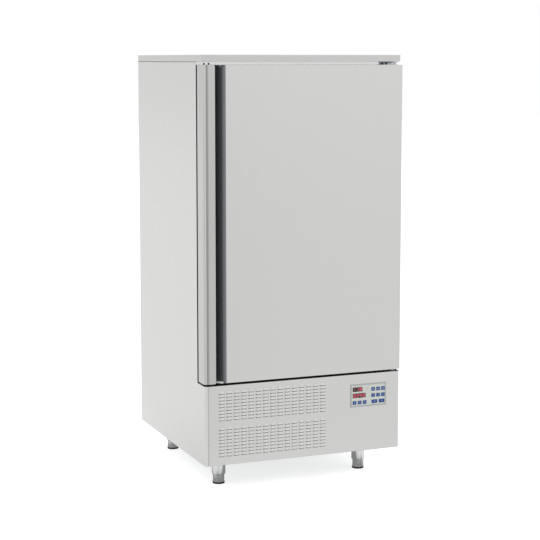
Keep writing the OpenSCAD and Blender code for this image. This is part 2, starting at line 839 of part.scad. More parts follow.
module door_inner_panel() {
    color("lightgray")
    difference() {
        union() {
            block([-half_w, y_door_back - sheet_t, z_door], [half_w, y_door_back, z_door_top]);
            block([-x_field, y_door_back - eps, z_field_low], [x_field, y_door_back + field_h, z_field_high]);
        }
        block([-x_field + sheet_t, y_door_back - 2 * sheet_t, z_field_low + sheet_t],
              [x_field - sheet_t, y_door_back + field_h - sheet_t, z_field_high - sheet_t]);
    }
}

// Magnetic gasket: base strip, bellows neck and magnet tube
gasket_base_t = 3;
gasket_tube_t = 6;
gasket_neck_in = 5;
gasket_tube_in = 1;

module door_gasket() {
    x1 = half_w - gasket_in;
    z0 = z_floor - (x1 - x_wall);
    z1 = z_ceiling + (x1 - x_wall);
    y0 = y_door_back;
    y1 = y_body - play;
    color("dimgray") {
        ring_xz(x1, z0, z1, gasket_w, y0, y0 + gasket_base_t);
        // The neck and the tube lie this far inside the base strip's edges
        for (part = [[gasket_neck_in, y0 + gasket_base_t - 1, y1 - gasket_tube_t + 1],
                     [gasket_tube_in, y1 - gasket_tube_t, y1]])
            ring_xz(x1 - part[0], z0 + part[0], z1 - part[0], gasket_w - 2 * part[0], part[1], part[2]);
    }
}

module door_hinge_bushes() {
    color("ivory")
    for (end = [0, 1])
        translate([x_hinge, y_hinge, end == 0 ? z_door : z_door_top]) mirror([0, 0, end])
        difference() {
            union() {
                cylinder(d = bush_od, h = bush_l);
                translate([0, 0, -bush_flange]) cylinder(d = bush_od + bush_flange_over, h = bush_flange);
            }
            translate([0, 0, -bush_flange - eps])
            cylinder(d = pin_d + 2 * pin_play, h = bush_l + bush_flange - bush_end_t);
        }
}

// ---- Hinges ----

arm_bore_d = pin_d + 0.02;
pin_tail = 5;
z_low_pin = z_low_arm - bracket_t - pin_tail;
plate_over = 16;

// A hinge arm with its upper face at z, round about the pin, and its screwed plate from z0 to z1
module hinge_bracket(z, z0, z1, screw_zs) {
    difference() {
        union() {
            bar_z(x_hinge, y_hinge, arm_w, z - bracket_t, z);
            block([x_hinge - arm_w / 2, y_hinge, z - bracket_t], [x_hinge + arm_w / 2, y_body, z]);
            block([x_hinge + plate_over - plate_w, y_body - bracket_t, z0],
                  [x_hinge + plate_over, y_body, z1]);
        }
        bar_z(x_hinge, y_hinge, arm_bore_d, z - bracket_t - eps, z + eps);
        for (x = hinge_screw_xs, s = screw_zs)
            bar_y(x, s, screw_hole_d, y_body - bracket_t - eps, y_body + eps);
    }
}

module upper_hinge_bracket() {
    color("silver")
    hinge_bracket(z_high_arm + bracket_t, z_door_top + 0.8, z_top - 4, [z_upper_screw, z_upper_screw_2]);
}

module lower_hinge_bracket() {
    color("silver")
    hinge_bracket(z_low_arm, z_frame_low, z_low_arm, [z_lower_screw]);
}

module hinge_pins() {
    color("dimgray") {
        bar_z(x_hinge, y_hinge, pin_d, z_high_arm + bracket_t - pin_l, z_high_arm + bracket_t);
        bar_z(x_hinge, y_hinge, pin_d, z_low_pin, z_low_pin + pin_l);
    }
}

// ---- Feet ----

module foot_sleeves() {
    color("lightgray")
    for (x = foot_xs, y = foot_ys)
        difference() {
            union() {
                bar_z(x, y, sleeve_d, sleeve_low + sleeve_chamfer, z_base);
                translate([x, y, sleeve_low])
                cylinder(d1 = sleeve_d - 2 * sleeve_chamfer, d2 = sleeve_d, h = sleeve_chamfer);
                bar_z(x, y, stud_d, z_base - 1, z_pan + stud_up);
            }
            bar_z(x, y, leg_d + 2 * leg_play, sleeve_low - eps, z_base - sleeve_cap_t);
        }
}

// The sliding leg: plain inside the sleeve, ringed below it, on a wider pad
leg_grooves = 4;
leg_groove_w = 2;
leg_groove_d = 1.2;
leg_groove_pitch = 6;
leg_groove_up = 5;

module leg(x, y) {
    color("silver")
    difference() {
        bar_z(x, y, leg_d, pad_h - 1, leg_l);
        for (i = [0 : leg_grooves - 1])
            translate([x, y, pad_h + leg_groove_up + i * leg_groove_pitch]) difference() {
                cylinder(d = leg_d + 2, h = leg_groove_w);
                translate([0, 0, -eps]) cylinder(d = leg_d - 2 * leg_groove_d, h = leg_groove_w + 2 * eps);
            }
    }
    color("black") bar_z(x, y, pad_d, 0, pad_h);
}

module leg_front_left() { leg(foot_xs[0], foot_ys[0]); }
module leg_front_right() { leg(foot_xs[1], foot_ys[0]); }
module leg_rear_left() { leg(foot_xs[0], foot_ys[1]); }
module leg_rear_right() { leg(foot_xs[1], foot_ys[1]); }

// ---- Tray racks ----

upright_w = 30;
upright_in = 40;
y_rack = y_liner + 12;
x_web = x_wall - rack_side;
hook_gap = 0.1;
tray_stop_h = 16;
x_upright = x_web + rack_t + hook_gap;

// The uprights pass the top runner and end below the chamber's ceiling
rack_over = 20;
rack_head_gap = 10;
tray_room = z_ceiling - rack_head_gap - rack_over - runner_h - z_floor - tray_low;
tray_levels = 1 + floor(tray_room / tray_pitch);

// Height of tray level i
function level_z(i) = z_floor + tray_low + i * tray_pitch;

// One side's rack: two channel uprights on the floor and an angled runner at each level
module tray_rack(side) {
    z1 = level_z(tray_levels - 1) + runner_h + rack_over;
    color("silver")
    mirror([side < 0 ? 1 : 0, 0, 0]) {
        for (y = [y_rack + upright_in, y_rack + rack_d - upright_in - upright_w])
            difference() {
                block([x_upright, y, z_floor], [x_wall, y + upright_w, z1]);
                block([x_upright + rack_t, y + rack_t, z_floor - eps],
                      [x_wall + eps, y + upright_w - rack_t, z1 + eps]);
            }
        for (i = [0 : tray_levels - 1])
            translate([0, y_rack, level_z(i)]) union() {
                block([x_web, 0, 0], [x_web + rack_t, rack_d, runner_h]);
                block([x_web - ledge_w, 0, 0], [x_web + rack_t, rack_d, rack_t]);
                block([x_web - ledge_w, rack_d - rack_t, 0], [x_web + rack_t, rack_d, tray_stop_h]);
            }
    }
}

module tray_rack_left() { tray_rack(-1); }
module tray_rack_right() { tray_rack(1); }

// ---- Fans ----

// Places for the three fans: the origin is on the axis, at the plate's rear face
fan_stations = [
    [0, y_fan_panel + fan_plate_t, z_fan_1],
    [0, y_fan_panel + fan_plate_t, z_fan_2],
    [x_cond, y_shroud + fan_plate_t, z_cond]
];
bar_gap = 4;
y_bar = ring_d + bar_gap;
hub_d = 70;
y_hub = 8;
hub_l = 26;
shaft_in = 22;
shaft_play = 0.05;
shaft_bore_l = 25;
blade_t = 2.5;
blade_chord = 68;
blade_tilt = 20;
blade_over = 2;

// The ring round a fan, behind its plate
module fan_ring() {
    difference() {
        bar_y(0, 0, ring_id + 2 * ring_wall, -fan_plate_t / 2, ring_d);
        bar_y(0, 0, ring_id, -fan_plate_t - eps, ring_d + eps);
    }
}

// A motor on its cross bar; the bar's two legs stand on the plate
module fan_motor() {
    leg_x = (motor_bar_l - motor_bar_t) / 2;
    difference() {
        union() {
            bar_y(0, 0, motor_d, y_bar, y_bar + motor_bar_t + motor_l);
            block([-motor_bar_l / 2, y_bar, -motor_bar_w / 2],
                  [motor_bar_l / 2, y_bar + motor_bar_t, motor_bar_w / 2]);
            for (x = [-leg_x, leg_x])
                block([x - motor_bar_t / 2, 0, -motor_bar_w / 2],
                      [x + motor_bar_t / 2, y_bar + motor_bar_t, motor_bar_w / 2]);
        }
        bar_y(0, 0, shaft_d + 2 * shaft_play, y_bar - eps, y_bar + shaft_bore_l);
    }
}

// Hub, shaft and five flat blades set at an angle
module fan_wheel() {
    blades = 5;
    root_in = 3;
    bar_y(0, 0, hub_d, y_hub, y_hub + hub_l);
    bar_y(0, 0, shaft_d, y_hub + hub_l - 1, y_bar + shaft_in);
    for (i = [0 : blades - 1])
        rotate([0, i * 360 / blades, 0])
        intersection() {
            bar_y(0, 0, fan_d, y_hub - blade_over, y_hub + hub_l + blade_over);
            translate([0, y_hub + hub_l / 2, hub_d / 2 - root_in]) rotate([0, 0, blade_tilt])
            block([-blade_chord / 2, -blade_t / 2, 0], [blade_chord / 2, blade_t / 2, fan_d]);
        }
}

module fan_motors() {
    color("dimgray")
    for (s = fan_stations) translate(s) fan_motor();
}

module evaporator_fan_lower() { color("slategray") translate(fan_stations[0]) fan_wheel(); }
module evaporator_fan_upper() { color("slategray") translate(fan_stations[1]) fan_wheel(); }
module condenser_fan() { color("slategray") translate(fan_stations[2]) fan_wheel(); }

fan_lip_w = 20;
fan_lip_screws = [for (s = [-1, 1], z = fan_screw_zs) [s * (fan_panel_w / 2 + fan_lip_w / 2), z]];

// The sheet that the evaporator fans blow through, boxed back to the rear wall at its sides
module evaporator_fan_panel() {
    x1 = fan_panel_w / 2;
    y1 = y_fan_panel + fan_plate_t;
    color("silver") {
        difference() {
            union() {
                block([-x1, y_fan_panel, z_fan_low], [x1, y_back, z_fan_high]);
                block([-x1 - fan_lip_w, y_back - fan_plate_t, z_fan_low],
                      [x1 + fan_lip_w, y_back, z_fan_high]);
            }
            block([-x1 + fan_plate_t, y1, z_fan_low - eps],
                  [x1 - fan_plate_t, y_back + eps, z_fan_high + eps]);
            for (s = [0, 1])
                bar_y(0, fan_stations[s][2], ring_id, y_fan_panel - eps, y1 + eps);
            for (p = fan_lip_screws) bar_y(p[0], p[1], screw_hole_d, y_back - 2 * fan_plate_t, y_back + eps);
        }
        for (s = [0, 1]) translate(fan_stations[s]) fan_ring();
    }
}

guard_wire = 3;
guard_out = 10;
guard_rings = 6;
guard_over = 10;

// Wire guards: rings welded on a cross of spokes that stand off the panel
module evaporator_fan_guards() {
    r1 = ring_id / 2 + guard_over;
    color("lightgray")
    for (s = [0, 1])
        translate([0, y_fan_panel - guard_out, fan_stations[s][2]]) {
            for (i = [1 : guard_rings])
                rotate([90, 0, 0]) rotate_extrude()
                translate([i * r1 / guard_rings, 0]) circle(d = guard_wire, $fn = 24);
            for (a = [45, 135]) rotate([0, a, 0]) bar_x(guard_wire * 0.6, 0, guard_wire, -r1 - 1, r1 + 1);
            for (a = [45 : 90 : 315]) rotate([0, a, 0]) bar_y(r1, 0, guard_wire * 2, 0, guard_out);
        }
}

module condenser_fan_shroud() {
    w = cond_w;
    z1 = z_deck - 6;
    color("silver") {
        difference() {
            block([x_cond - w / 2, y_shroud, z_pan], [x_cond + w / 2, y_shroud + fan_plate_t, z1]);
            bar_y(x_cond, z_cond, ring_id, y_shroud - eps, y_shroud + fan_plate_t + eps);
        }
        translate(fan_stations[2]) fan_ring();
        // Side flanges that reach forward to the coil's end plates
        for (s = [-1, 1])
            block([x_cond + s * (w - fan_plate_t) / 2 - fan_plate_t / 2, y_cond + cond_d, z_pan],
                  [x_cond + s * (w - fan_plate_t) / 2 + fan_plate_t / 2, y_shroud + fan_plate_t, z1]);
    }
}

// ---- Refrigeration ----

coil_tube_d = 10;
coil_plate_t = 1.5;
coil_pitch = 25;
coil_edge = 10;
fin_back = 4;
evap_plate_over = 10;
cond_plate_over = 4;

// A finned coil: fin block, two end plates and the return bends; its origin is the
// middle of its front lower edge
module finned_coil(w, d, h, foot, head) {
    n = floor((h - 2 * coil_edge) / (2 * coil_pitch));
    z0 = (h - (2 * n - 1) * coil_pitch) / 2;
    block([-w / 2 + coil_plate_t, fin_back, 0], [w / 2 - coil_plate_t, d, h]);
    for (s = [-1, 1]) {
        block([s * (w / 2 - coil_plate_t / 2) - coil_plate_t / 2, 0, -foot],
              [s * (w / 2 - coil_plate_t / 2) + coil_plate_t / 2, d, h + head]);
        for (i = [0 : n - 1], y = [d * 0.3, d * 0.7])
            translate([s * (w / 2 - 0.5), y, z0 + (2 * i + 0.5) * coil_pitch])
            rotate([90, 0, 0]) rotate([0, 0, s > 0 ? -90 : 90])
            rotate_extrude(angle = 180) translate([coil_pitch / 2, 0]) circle(d = coil_tube_d, $fn = 24);
    }
}

module condenser_coil() {
    foot = z_cond - cond_h / 2 - z_pan;
    color("peru")
    translate([x_cond, y_cond, z_cond - cond_h / 2])
    finned_coil(cond_w, cond_d, cond_h, foot, cond_plate_over);
}

z_evap = (z_fan_low + z_fan_high) / 2 - evap_h / 2;

module evaporator_coil() {
    color("lightsteelblue")
    translate([0, y_back - evap_d, z_evap])
    finned_coil(evap_w, evap_d, evap_h, evap_plate_over, evap_plate_over);
}

// Pipes: their diameters, and the short ports that they are brazed to
pipe_d = 10;
suction_d = 16;
port_l = 8;
discharge_in = 20;
suction_up = 60;

x_comp = x_cond - 20;
y_comp = 90;
comp_foot_x = 82;
comp_foot_y = 60;
comp_feet = [for (sx = [-1, 1], sy = [-1, 1]) [x_comp + sx * comp_foot_x, y_comp + sy * comp_foot_y]];
grommet_h = 14;
grommet_d = 26;
grommet_neck_d = 8.6;
comp_plate_t = 3;
comp_plate_over = 16;
comp_dome = 40;
comp_seam_h = 8;
comp_seam_out = 3;
terminal_w = 60;
terminal_out = 34;
comp_bolt_d = 6;
comp_bolt_head_d = 14;
comp_bolt_head_h = 4;
comp_bolt_up = 3;
z_comp = z_pan + grommet_h + comp_plate_t;

// Hermetic compressor on its plate, with its terminal box and four rubber grommets
module compressor() {
    r = comp_d / 2;
    plate_x = comp_foot_x + comp_plate_over;
    plate_y = comp_foot_y + comp_plate_over;
    color("dimgray") {
        translate([x_comp, y_comp, z_comp]) {
            rotate_extrude()
            polygon(concat([[0, 0]], arc([r - comp_dome, comp_dome], comp_dome, -60, 0, 4),
                           arc([r - comp_dome, comp_h - comp_dome], comp_dome, 0, 60, 4), [[0, comp_h]]));
            translate([0, 0, comp_h * 0.55]) cylinder(d = comp_d + 2 * comp_seam_out, h = comp_seam_h);
            block([r - 6, -terminal_w / 2, comp_h * 0.25], [r + terminal_out, terminal_w / 2, comp_h * 0.5]);
            bar_z(0, -discharge_in, pipe_d + 6, comp_h - 12, comp_h + port_l);
            bar_y(0, suction_up, suction_d + 6, r - 8, r + port_l);
        }
        difference() {
            block([x_comp - plate_x, y_comp - plate_y, z_comp - comp_plate_t],
                  [x_comp + plate_x, y_comp + plate_y, z_comp + 0.2]);
            for (m = comp_feet)
                bar_z(m[0], m[1], grommet_neck_d + 0.4, z_comp - comp_plate_t - eps, z_comp + eps + 1);
        }
    }
    color("black")
    for (m = comp_feet)
        difference() {
            union() {
                bar_z(m[0], m[1], grommet_d, z_pan, z_comp - comp_plate_t - 0.1);
                bar_z(m[0], m[1], grommet_neck_d, z_comp - comp_plate_t - 1, z_comp + comp_bolt_up);
            }
            bar_z(m[0], m[1], screw_hole_d + 2, z_pan - eps, z_comp + 4);
        }
}

recv_gap = 94;
recv_d = 102;
x_recv = x_comp + comp_d / 2 + recv_gap + recv_d / 2;
y_recv = 60;
recv_h = 220;
recv_in_up = 60;
recv_lift = 8;
recv_dome = 20;
recv_dome_up = 2;
recv_flat_in = 14;
z_recv_top = z_pan + recv_lift + recv_h + port_l;

module liquid_receiver() {
    r = recv_d / 2;
    color("black")
    translate([x_recv, y_recv, z_pan]) {
        translate([0, 0, recv_lift]) rotate_extrude()
        polygon(concat([[0, 0], [r - recv_flat_in, recv_dome_up]],
                       arc([r - recv_dome, recv_dome + recv_dome_up], recv_dome, -60, 0, 3),
                       arc([r - recv_dome, recv_h - recv_dome - recv_dome_up], recv_dome, 0, 60, 3),
                       [[r - recv_flat_in, recv_h - recv_dome_up], [0, recv_h]]));
        cylinder(d = recv_d * 0.7, h = recv_lift + 3);
        bar_z(0, 0, pipe_d + 6, recv_h, z_recv_top - z_pan);
        bar_x(0, recv_in_up, pipe_d + 6, r - 8, r + port_l);
    }
}

// A pipe along straight runs, with a brazed elbow at each turn
module pipe(points, d) {
    for (i = [0 : len(points) - 2]) {
        a = points[i];
        b = points[i + 1];
        v = b - a;
        translate(a) rotate([0, acos(v.z / norm(v)), atan2(v.y, v.x)]) cylinder(d = d, h = norm(v));
    }
    for (i = [1 : len(points) - 2]) translate(points[i]) sphere(d = d * 1.3);
}

module refrigerant_pipes() {
    z_hot = z_deck - 26;
    z_liquid = z_hot - 20;
    z_condensate = z_pan + recv_in_up;
    z_suction = z_comp + suction_up;
    x_cond_end = x_cond + cond_w / 2;
    y_cond_mid = y_cond + cond_d / 2;
    y_discharge = y_comp - discharge_in;
    x_hot = x_cond_end + 40;
    x_condensate = x_recv + recv_d / 2 + port_l + 12;
    z_evap_in = z_evap + 30;
    z_evap_out = z_evap_in + 50;
    drier_d = 26;
    drier_l = 60;
    color("darkorange") {
        // Hot gas from the compressor's top to the condenser
        pipe([[x_comp, y_discharge, z_comp + comp_h + port_l], [x_comp, y_discharge, z_hot],
              [x_hot, y_discharge, z_hot], [x_hot, y_cond_mid, z_hot],
              [x_hot, y_cond_mid, z_cond + 70], [x_cond_end, y_cond_mid, z_cond + 70]], pipe_d);
        // Liquid from the condenser to the receiver
        pipe([[x_cond_end, y_cond_mid, z_condensate], [x_condensate, y_cond_mid, z_condensate],
              [x_condensate, y_recv, z_condensate],
              [x_recv + recv_d / 2 + port_l, y_recv, z_condensate]], pipe_d);
        // Liquid from the receiver through the drier and up to the evaporator
        pipe([[x_recv, y_recv, z_recv_top], [x_recv, y_recv, z_liquid], [x_liquid, y_recv, z_liquid],
              [x_liquid, y_pipes, z_liquid], [x_liquid, y_pipes, z_evap_in],
              [evap_w / 2, y_pipes, z_evap_in]], pipe_d);
        bar_x(y_recv, z_liquid, drier_d, x_liquid - 90, x_liquid - 90 + drier_l);
        // Suction gas from the evaporator back to the compressor
        pipe([[evap_w / 2, y_pipes, z_evap_out], [x_suction, y_pipes, z_evap_out],
              [x_suction, y_pipes, z_suction], [x_comp, y_pipes, z_suction],
              [x_comp, y_comp + comp_d / 2 + port_l, z_suction]], suction_d);
    }
}

ebox_side = 50;
ebox_behind_foot = 30;
cable_entry_d = 16;
cable_entry_h = 10;

// Box with the relays, its cover and the four cable entries on its top
module electrical_box() {
    x0 = half_w - ebox_side - ebox_w;
    x1 = x0 + ebox_w;
    y0 = foot_ys[0] + ebox_behind_foot;
    y1 = y0 + ebox_d;
    z1 = z_pan + ebox_h;
    rim = 4;
    entries = 4;
    entry_pitch = ebox_w / (entries + 1);
    color("gray") {
        block([x0, y0, z_pan], [x1, y1, z1]);
        block([x0 - rim, y1, z_pan + rim], [x1 + rim, y1 + rim, z1 + rim]);
        for (i = [1 : entries])
            bar_z(x0 + i * entry_pitch, (y0 + y1) / 2, cable_entry_d, z1 - 1, z1 + cable_entry_h);
    }
}

gland_d = 16;
gland_bore = 9;
gland_nut_d = 26;
gland_nut_t = 4;
gland_body_t = 5;
gland_cap_d = [15, 21];
gland_cap_h = 15;
gland_up = 12;
x_gland = half_w - 60;
y_gland = y_rear - 50;

// Where the mains lead would go in, through the base pan
module power_cable_gland() {
    color("black")
    difference() {
        union() {
            bar_z(x_gland, y_gland, gland_d, z_base - gland_body_t - 1, z_pan + gland_up);
            translate([x_gland, y_gland, z_base - gland_body_t])
            cylinder(d = gland_nut_d, h = gland_body_t, $fn = 6);
            translate([x_gland, y_gland, z_pan]) cylinder(d = gland_nut_d, h = gland_nut_t, $fn = 6);
            translate([x_gland, y_gland, z_base - gland_body_t + 1 - gland_cap_h])
            cylinder(d1 = gland_cap_d[0], d2 = gland_cap_d[1], h = gland_cap_h);
        }
        bar_z(x_gland, y_gland, gland_bore, z_base - 2 * gland_cap_h, z_pan + gland_up + eps);
    }
}

// ---- Screws and nuts ----

module screws_and_nuts() {
    past_frame = 8;
    bracket_l = bracket_t + frame_t + past_frame;
    color("dimgray") {
        for (x = rear_screw_xs, z = rear_screw_zs) screw_y(x, y_rear, z, rear_screw_l, -1);
        for (x = hinge_screw_xs, z = [z_upper_screw, z_upper_screw_2, z_lower_screw])
            screw_y(x, y_body - bracket_t, z, bracket_l, 1);
        for (x = hinge_screw_xs) screw_y(-x, y_body, z_upper_screw, frame_t + past_frame, 1);
        for (p = fan_lip_screws) screw_y(p[0], y_back - fan_plate_t, p[1], fan_screw_l, 1);
        for (x = foot_xs, y = foot_ys)
            difference() {
                translate([x, y, z_pan]) cylinder(d = foot_nut_d, h = foot_nut_h, $fn = 6);
                bar_z(x, y, stud_d + 0.4, z_pan - eps, z_pan + foot_nut_h + eps);
            }
        for (m = comp_feet) {
            z = z_comp + comp_bolt_up;
            bar_z(m[0], m[1], comp_bolt_d, z_base, z);
            bar_z(m[0], m[1], comp_bolt_head_d, z, z + comp_bolt_head_h);
        }
    }
}

// ---- What is drawn ----

left_side_panel();
right_side_panel();
rear_panel();
top_cover();
base_pan();
deck_sheet();
insulation_foam();
liner_left_wall();
liner_right_wall();
liner_back_wall();
liner_ceiling();
liner_floor();
mouth_frame();
front_service_panel();
control_housing();
control_overlay();
display_windows();
upper_hinge_bracket();
lower_hinge_bracket();
hinge_pins();
foot_sleeves();
compressor();
liquid_receiver();
condenser_coil();
condenser_fan_shroud();
refrigerant_pipes();
electrical_box();
evaporator_coil();
evaporator_fan_panel();
evaporator_fan_guards();
fan_motors();
tray_rack_left();
tray_rack_right();
screws_and_nuts();
power_cable_gland();
door_outer_skin();
door_foam();
door_inner_panel();
door_gasket();
door_handle_profile();
door_handle_caps();
door_hinge_bushes();
condenser_fan();
evaporator_fan_lower();
evaporator_fan_upper();
leg_front_left();
leg_front_right();
leg_rear_left();
leg_rear_right();
key_high_left();
key_high_middle();
key_high_right();
key_mid_left();
key_mid_middle();
key_mid_right();
key_low_left();
key_low_middle();
key_low_right();
key_wide_left();
key_wide_right();
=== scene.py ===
"""Looks of an upright blast chiller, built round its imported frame.

Everything is in metres, in the frame's own axes: X to the right, Y to the rear, Z up.
The sheet metal is folded, the louvres, fins, tubes and screws are repeated by geometry
nodes, and what the frame already shapes well is a softened copy of its node.
"""

import json
import math

import bmesh
import bpy
from mathutils import Matrix, Vector


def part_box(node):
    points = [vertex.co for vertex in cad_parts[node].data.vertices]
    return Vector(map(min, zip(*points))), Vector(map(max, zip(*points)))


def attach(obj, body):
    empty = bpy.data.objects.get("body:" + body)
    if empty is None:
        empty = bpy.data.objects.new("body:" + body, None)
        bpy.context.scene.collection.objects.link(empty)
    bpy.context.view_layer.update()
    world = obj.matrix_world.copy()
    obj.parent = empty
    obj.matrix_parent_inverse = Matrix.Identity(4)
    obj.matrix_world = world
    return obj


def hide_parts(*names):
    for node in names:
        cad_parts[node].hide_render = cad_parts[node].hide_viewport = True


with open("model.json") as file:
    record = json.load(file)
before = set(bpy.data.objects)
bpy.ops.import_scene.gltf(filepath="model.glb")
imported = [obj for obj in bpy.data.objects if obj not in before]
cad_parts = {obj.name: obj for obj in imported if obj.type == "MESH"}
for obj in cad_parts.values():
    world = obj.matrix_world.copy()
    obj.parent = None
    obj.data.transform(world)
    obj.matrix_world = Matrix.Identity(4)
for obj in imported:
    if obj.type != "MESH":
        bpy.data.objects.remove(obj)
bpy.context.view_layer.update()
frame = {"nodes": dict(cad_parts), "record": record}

MM = 0.001
PATTERN_RANGE = (0.3, 0.7)     # what noise mostly stays between
BODY_OF = {node: body for body, nodes in frame["record"]["behaviour"]["bodies"].items() for node in nodes}


# ---- Materials: helpers ----

def colour(text):
    """An sRGB colour written as hex, as the linear RGBA that the shaders take."""
    channels = [int(text[i:i + 2], 16) / 255 for i in (1, 3, 5)]
    return [c / 12.92 if c <= 0.04045 else ((c + 0.055) / 1.055) ** 2.4 for c in channels] + [1.0]


def add(tree, kind, inputs=(), **settings):
    """Adds a node: settings are its own properties, and an input takes a value or a socket."""
    node = tree.nodes.new(kind)
    for name, value in settings.items():
        setattr(node, name, value)
    for name, value in dict(inputs).items():
        if isinstance(value, bpy.types.NodeSocket):
            tree.links.new(value, node.inputs[name])
        else:
            node.inputs[name].default_value = value
    return node


def calc(tree, operation, *values):
    """The result of a maths node."""
    return add(tree, "ShaderNodeMath", dict(enumerate(values)), operation=operation).outputs[0]


def ranged(tree, value, low, high, to_low=0.0, to_high=1.0, kind="LINEAR"):
    """A value that runs from low to high, moved to another range and held inside it."""
    ends = {"Value": value, "From Min": low, "From Max": high, "To Min": to_low, "To Max": to_high}
    return add(tree, "ShaderNodeMapRange", ends, interpolation_type=kind).outputs["Result"]


def mixed(tree, factor, low, high):
    """A colour between two hex colours."""
    ends = {0: factor, 6: colour(low), 7: colour(high)}
    return add(tree, "ShaderNodeMix", ends, data_type="RGBA").outputs[2]


def own_place(tree):
    """The shaded place in the object's own axes."""
    return add(tree, "ShaderNodeTexCoord").outputs["Object"]


def parts_of(tree, vector):
    """The X, Y and Z of a vector."""
    return add(tree, "ShaderNodeSeparateXYZ", {"Vector": vector}).outputs


def new_material(name, base, metallic=0.0, roughness=0.5, **constants):
    """A material with a Principled shader; constants are its other sockets, with _ for a space."""
    material = bpy.data.materials.new(name)
    material.use_nodes = True
    tree = material.node_tree
    tree.nodes.clear()
    values = {"Base Color": colour(base), "Metallic": metallic, "Roughness": roughness}
    values.update({key.replace("_", " "): value for key, value in constants.items()})
    shader = add(tree, "ShaderNodeBsdfPrincipled", values)
    add(tree, "ShaderNodeOutputMaterial", {"Surface": shader.outputs["BSDF"]})
    return material, tree, shader


def noise(tree, size, detail=2.0):
    """Noise whose features have the given size along X, Y and Z, in millimetres."""
    scale = [1 / (s * MM) for s in size]
    scaled = add(tree, "ShaderNodeMapping", {"Vector": own_place(tree), "Scale": scale}).outputs["Vector"]
    made = add(tree, "ShaderNodeTexNoise", {"Vector": scaled, "Scale": 1.0, "Detail": detail})
    return made.outputs["Fac"]


def vary_roughness(tree, shader, factor, low, high):
    """Roughness that runs from low to high with a pattern."""
    tree.links.new(ranged(tree, factor, *PATTERN_RANGE, low, high), shader.inputs["Roughness"])


def vary_colour(tree, shader, factor, low, high):
    """A base colour that runs from one hex colour to another with a pattern."""
    tree.links.new(mixed(tree, ranged(tree, factor, *PATTERN_RANGE), low, high), shader.inputs["Base Color"])


def raise_surface(tree, shader, height, depth):
    """Bump with the given depth in millimetres."""
    bump = add(tree, "ShaderNodeBump", {"Height": height, "Distance": depth * MM, "Strength": 1.0})
    tree.links.new(bump.outputs["Normal"], shader.inputs["Normal"])


# ---- Materials ----

def patterned(name, base, grain, detail=2.0, tones=(), rough=(), bump=0.0, **constants):
    """A material under noise whose grain is given in mm, for all axes or for each. The noise moves
    the colour between two tones and the roughness between two ends, and raises the surface."""
    material, tree, shader = new_material(name, base, **constants)
    pattern = noise(tree, grain if isinstance(grain, tuple) else (grain,) * 3, detail)
    if tones:
        vary_colour(tree, shader, pattern, *tones)
    if rough:
        vary_roughness(tree, shader, pattern, *rough)
    if bump:
        raise_surface(tree, shader, pattern, bump)
    return material


def satin_stainless(name, base, grain, *rough):
    """Stainless steel 1.4301 with a fine satin grind: a soft, slightly streaky mirror. Real
    grinding lines are about 0.1 mm apart, so they are drawn a few millimetres wide."""
    return patterned(name, base, grain, 3.0, rough=rough, bump=0.004, metallic=1.0)


def moulded(name, base, dark, grit, roughness):
    """Injection-moulded plastic: an even colour under a fine spark-eroded texture."""
    return patterned(name, base, grit, 3.0, (dark, base), (roughness - 0.06, roughness + 0.06), 0.02)


def galvanised_steel():
    """Hot-dip galvanised sheet: zinc crystals 15 mm across, each with its own grey."""
    material, tree, shader = new_material("galvanised_steel", "#B9BDBF", metallic=1.0)
    cells = add(tree, "ShaderNodeTexVoronoi", {"Vector": own_place(tree), "Scale": 1 / (15 * MM)})
    grey = add(tree, "ShaderNodeSeparateColor", {"Color": cells.outputs["Color"]}).outputs["Red"]
    vary_colour(tree, shader, grey, "#B2B7BA", "#C3C7C9")
    vary_roughness(tree, shader, grey, 0.34, 0.46)
    raise_surface(tree, shader, grey, 0.01)
    return material


# How far in the finger groove's painted shade runs, in mm, and its tones from the edge inwards: painted shade
# and painted reflection
GROOVE_SHADE_DEPTH = 26
GROOVE_SHADE_TONES = ((0.0, "#7E8082"), (0.2, "#6A6C6E"), (0.45, "#3B3C3E"), (0.7, "#48494B"), (1.0, "#A6A8AA"))


def groove_painted_shade(y_front):
    """The finger groove's steel, with painted shade and painted reflection: its colour darkens from
    its edge inwards, as the photograph shows, and is a plainer grey again at its back, which the lip keeps in
    the shade."""
    material, tree, shader = new_material("satin_stainless_groove_painted_shade", "#6A6C6E", metallic=1.0, roughness=0.3)
    depth = parts_of(tree, own_place(tree))["Y"]
    inwards = ranged(tree, depth, y_front, y_front + GROOVE_SHADE_DEPTH * MM)
    ramp = add(tree, "ShaderNodeValToRGB", {"Fac": inwards})
    ramp.color_ramp.interpolation = "EASE"
    stops = ramp.color_ramp.elements
    for place, _ in GROOVE_SHADE_TONES[2:]:
        stops.new(place)
    for stop, (place, tone) in zip(stops, GROOVE_SHADE_TONES):
        stop.position = place
        stop.color = colour(tone)
    tree.links.new(ramp.outputs["Color"], shader.inputs["Base Color"])
    vary_roughness(tree, shader, noise(tree, (2.5, 2.5, 160), 3.0), 0.26, 0.32)
    return material


def lit_segment():
    """Glowing red LED segments behind the lens: pinkish where they burn out the eye."""
    material, tree, shader = new_material("lit_led", "#C23A52", roughness=0.4)
    glow = mixed(tree, noise(tree, (1.5, 1.5, 1.5)), "#D8405E", "#F07088")
    tree.links.new(glow, shader.inputs["Emission Color"])
    shader.inputs["Emission Strength"].default_value = 0.6
    return material


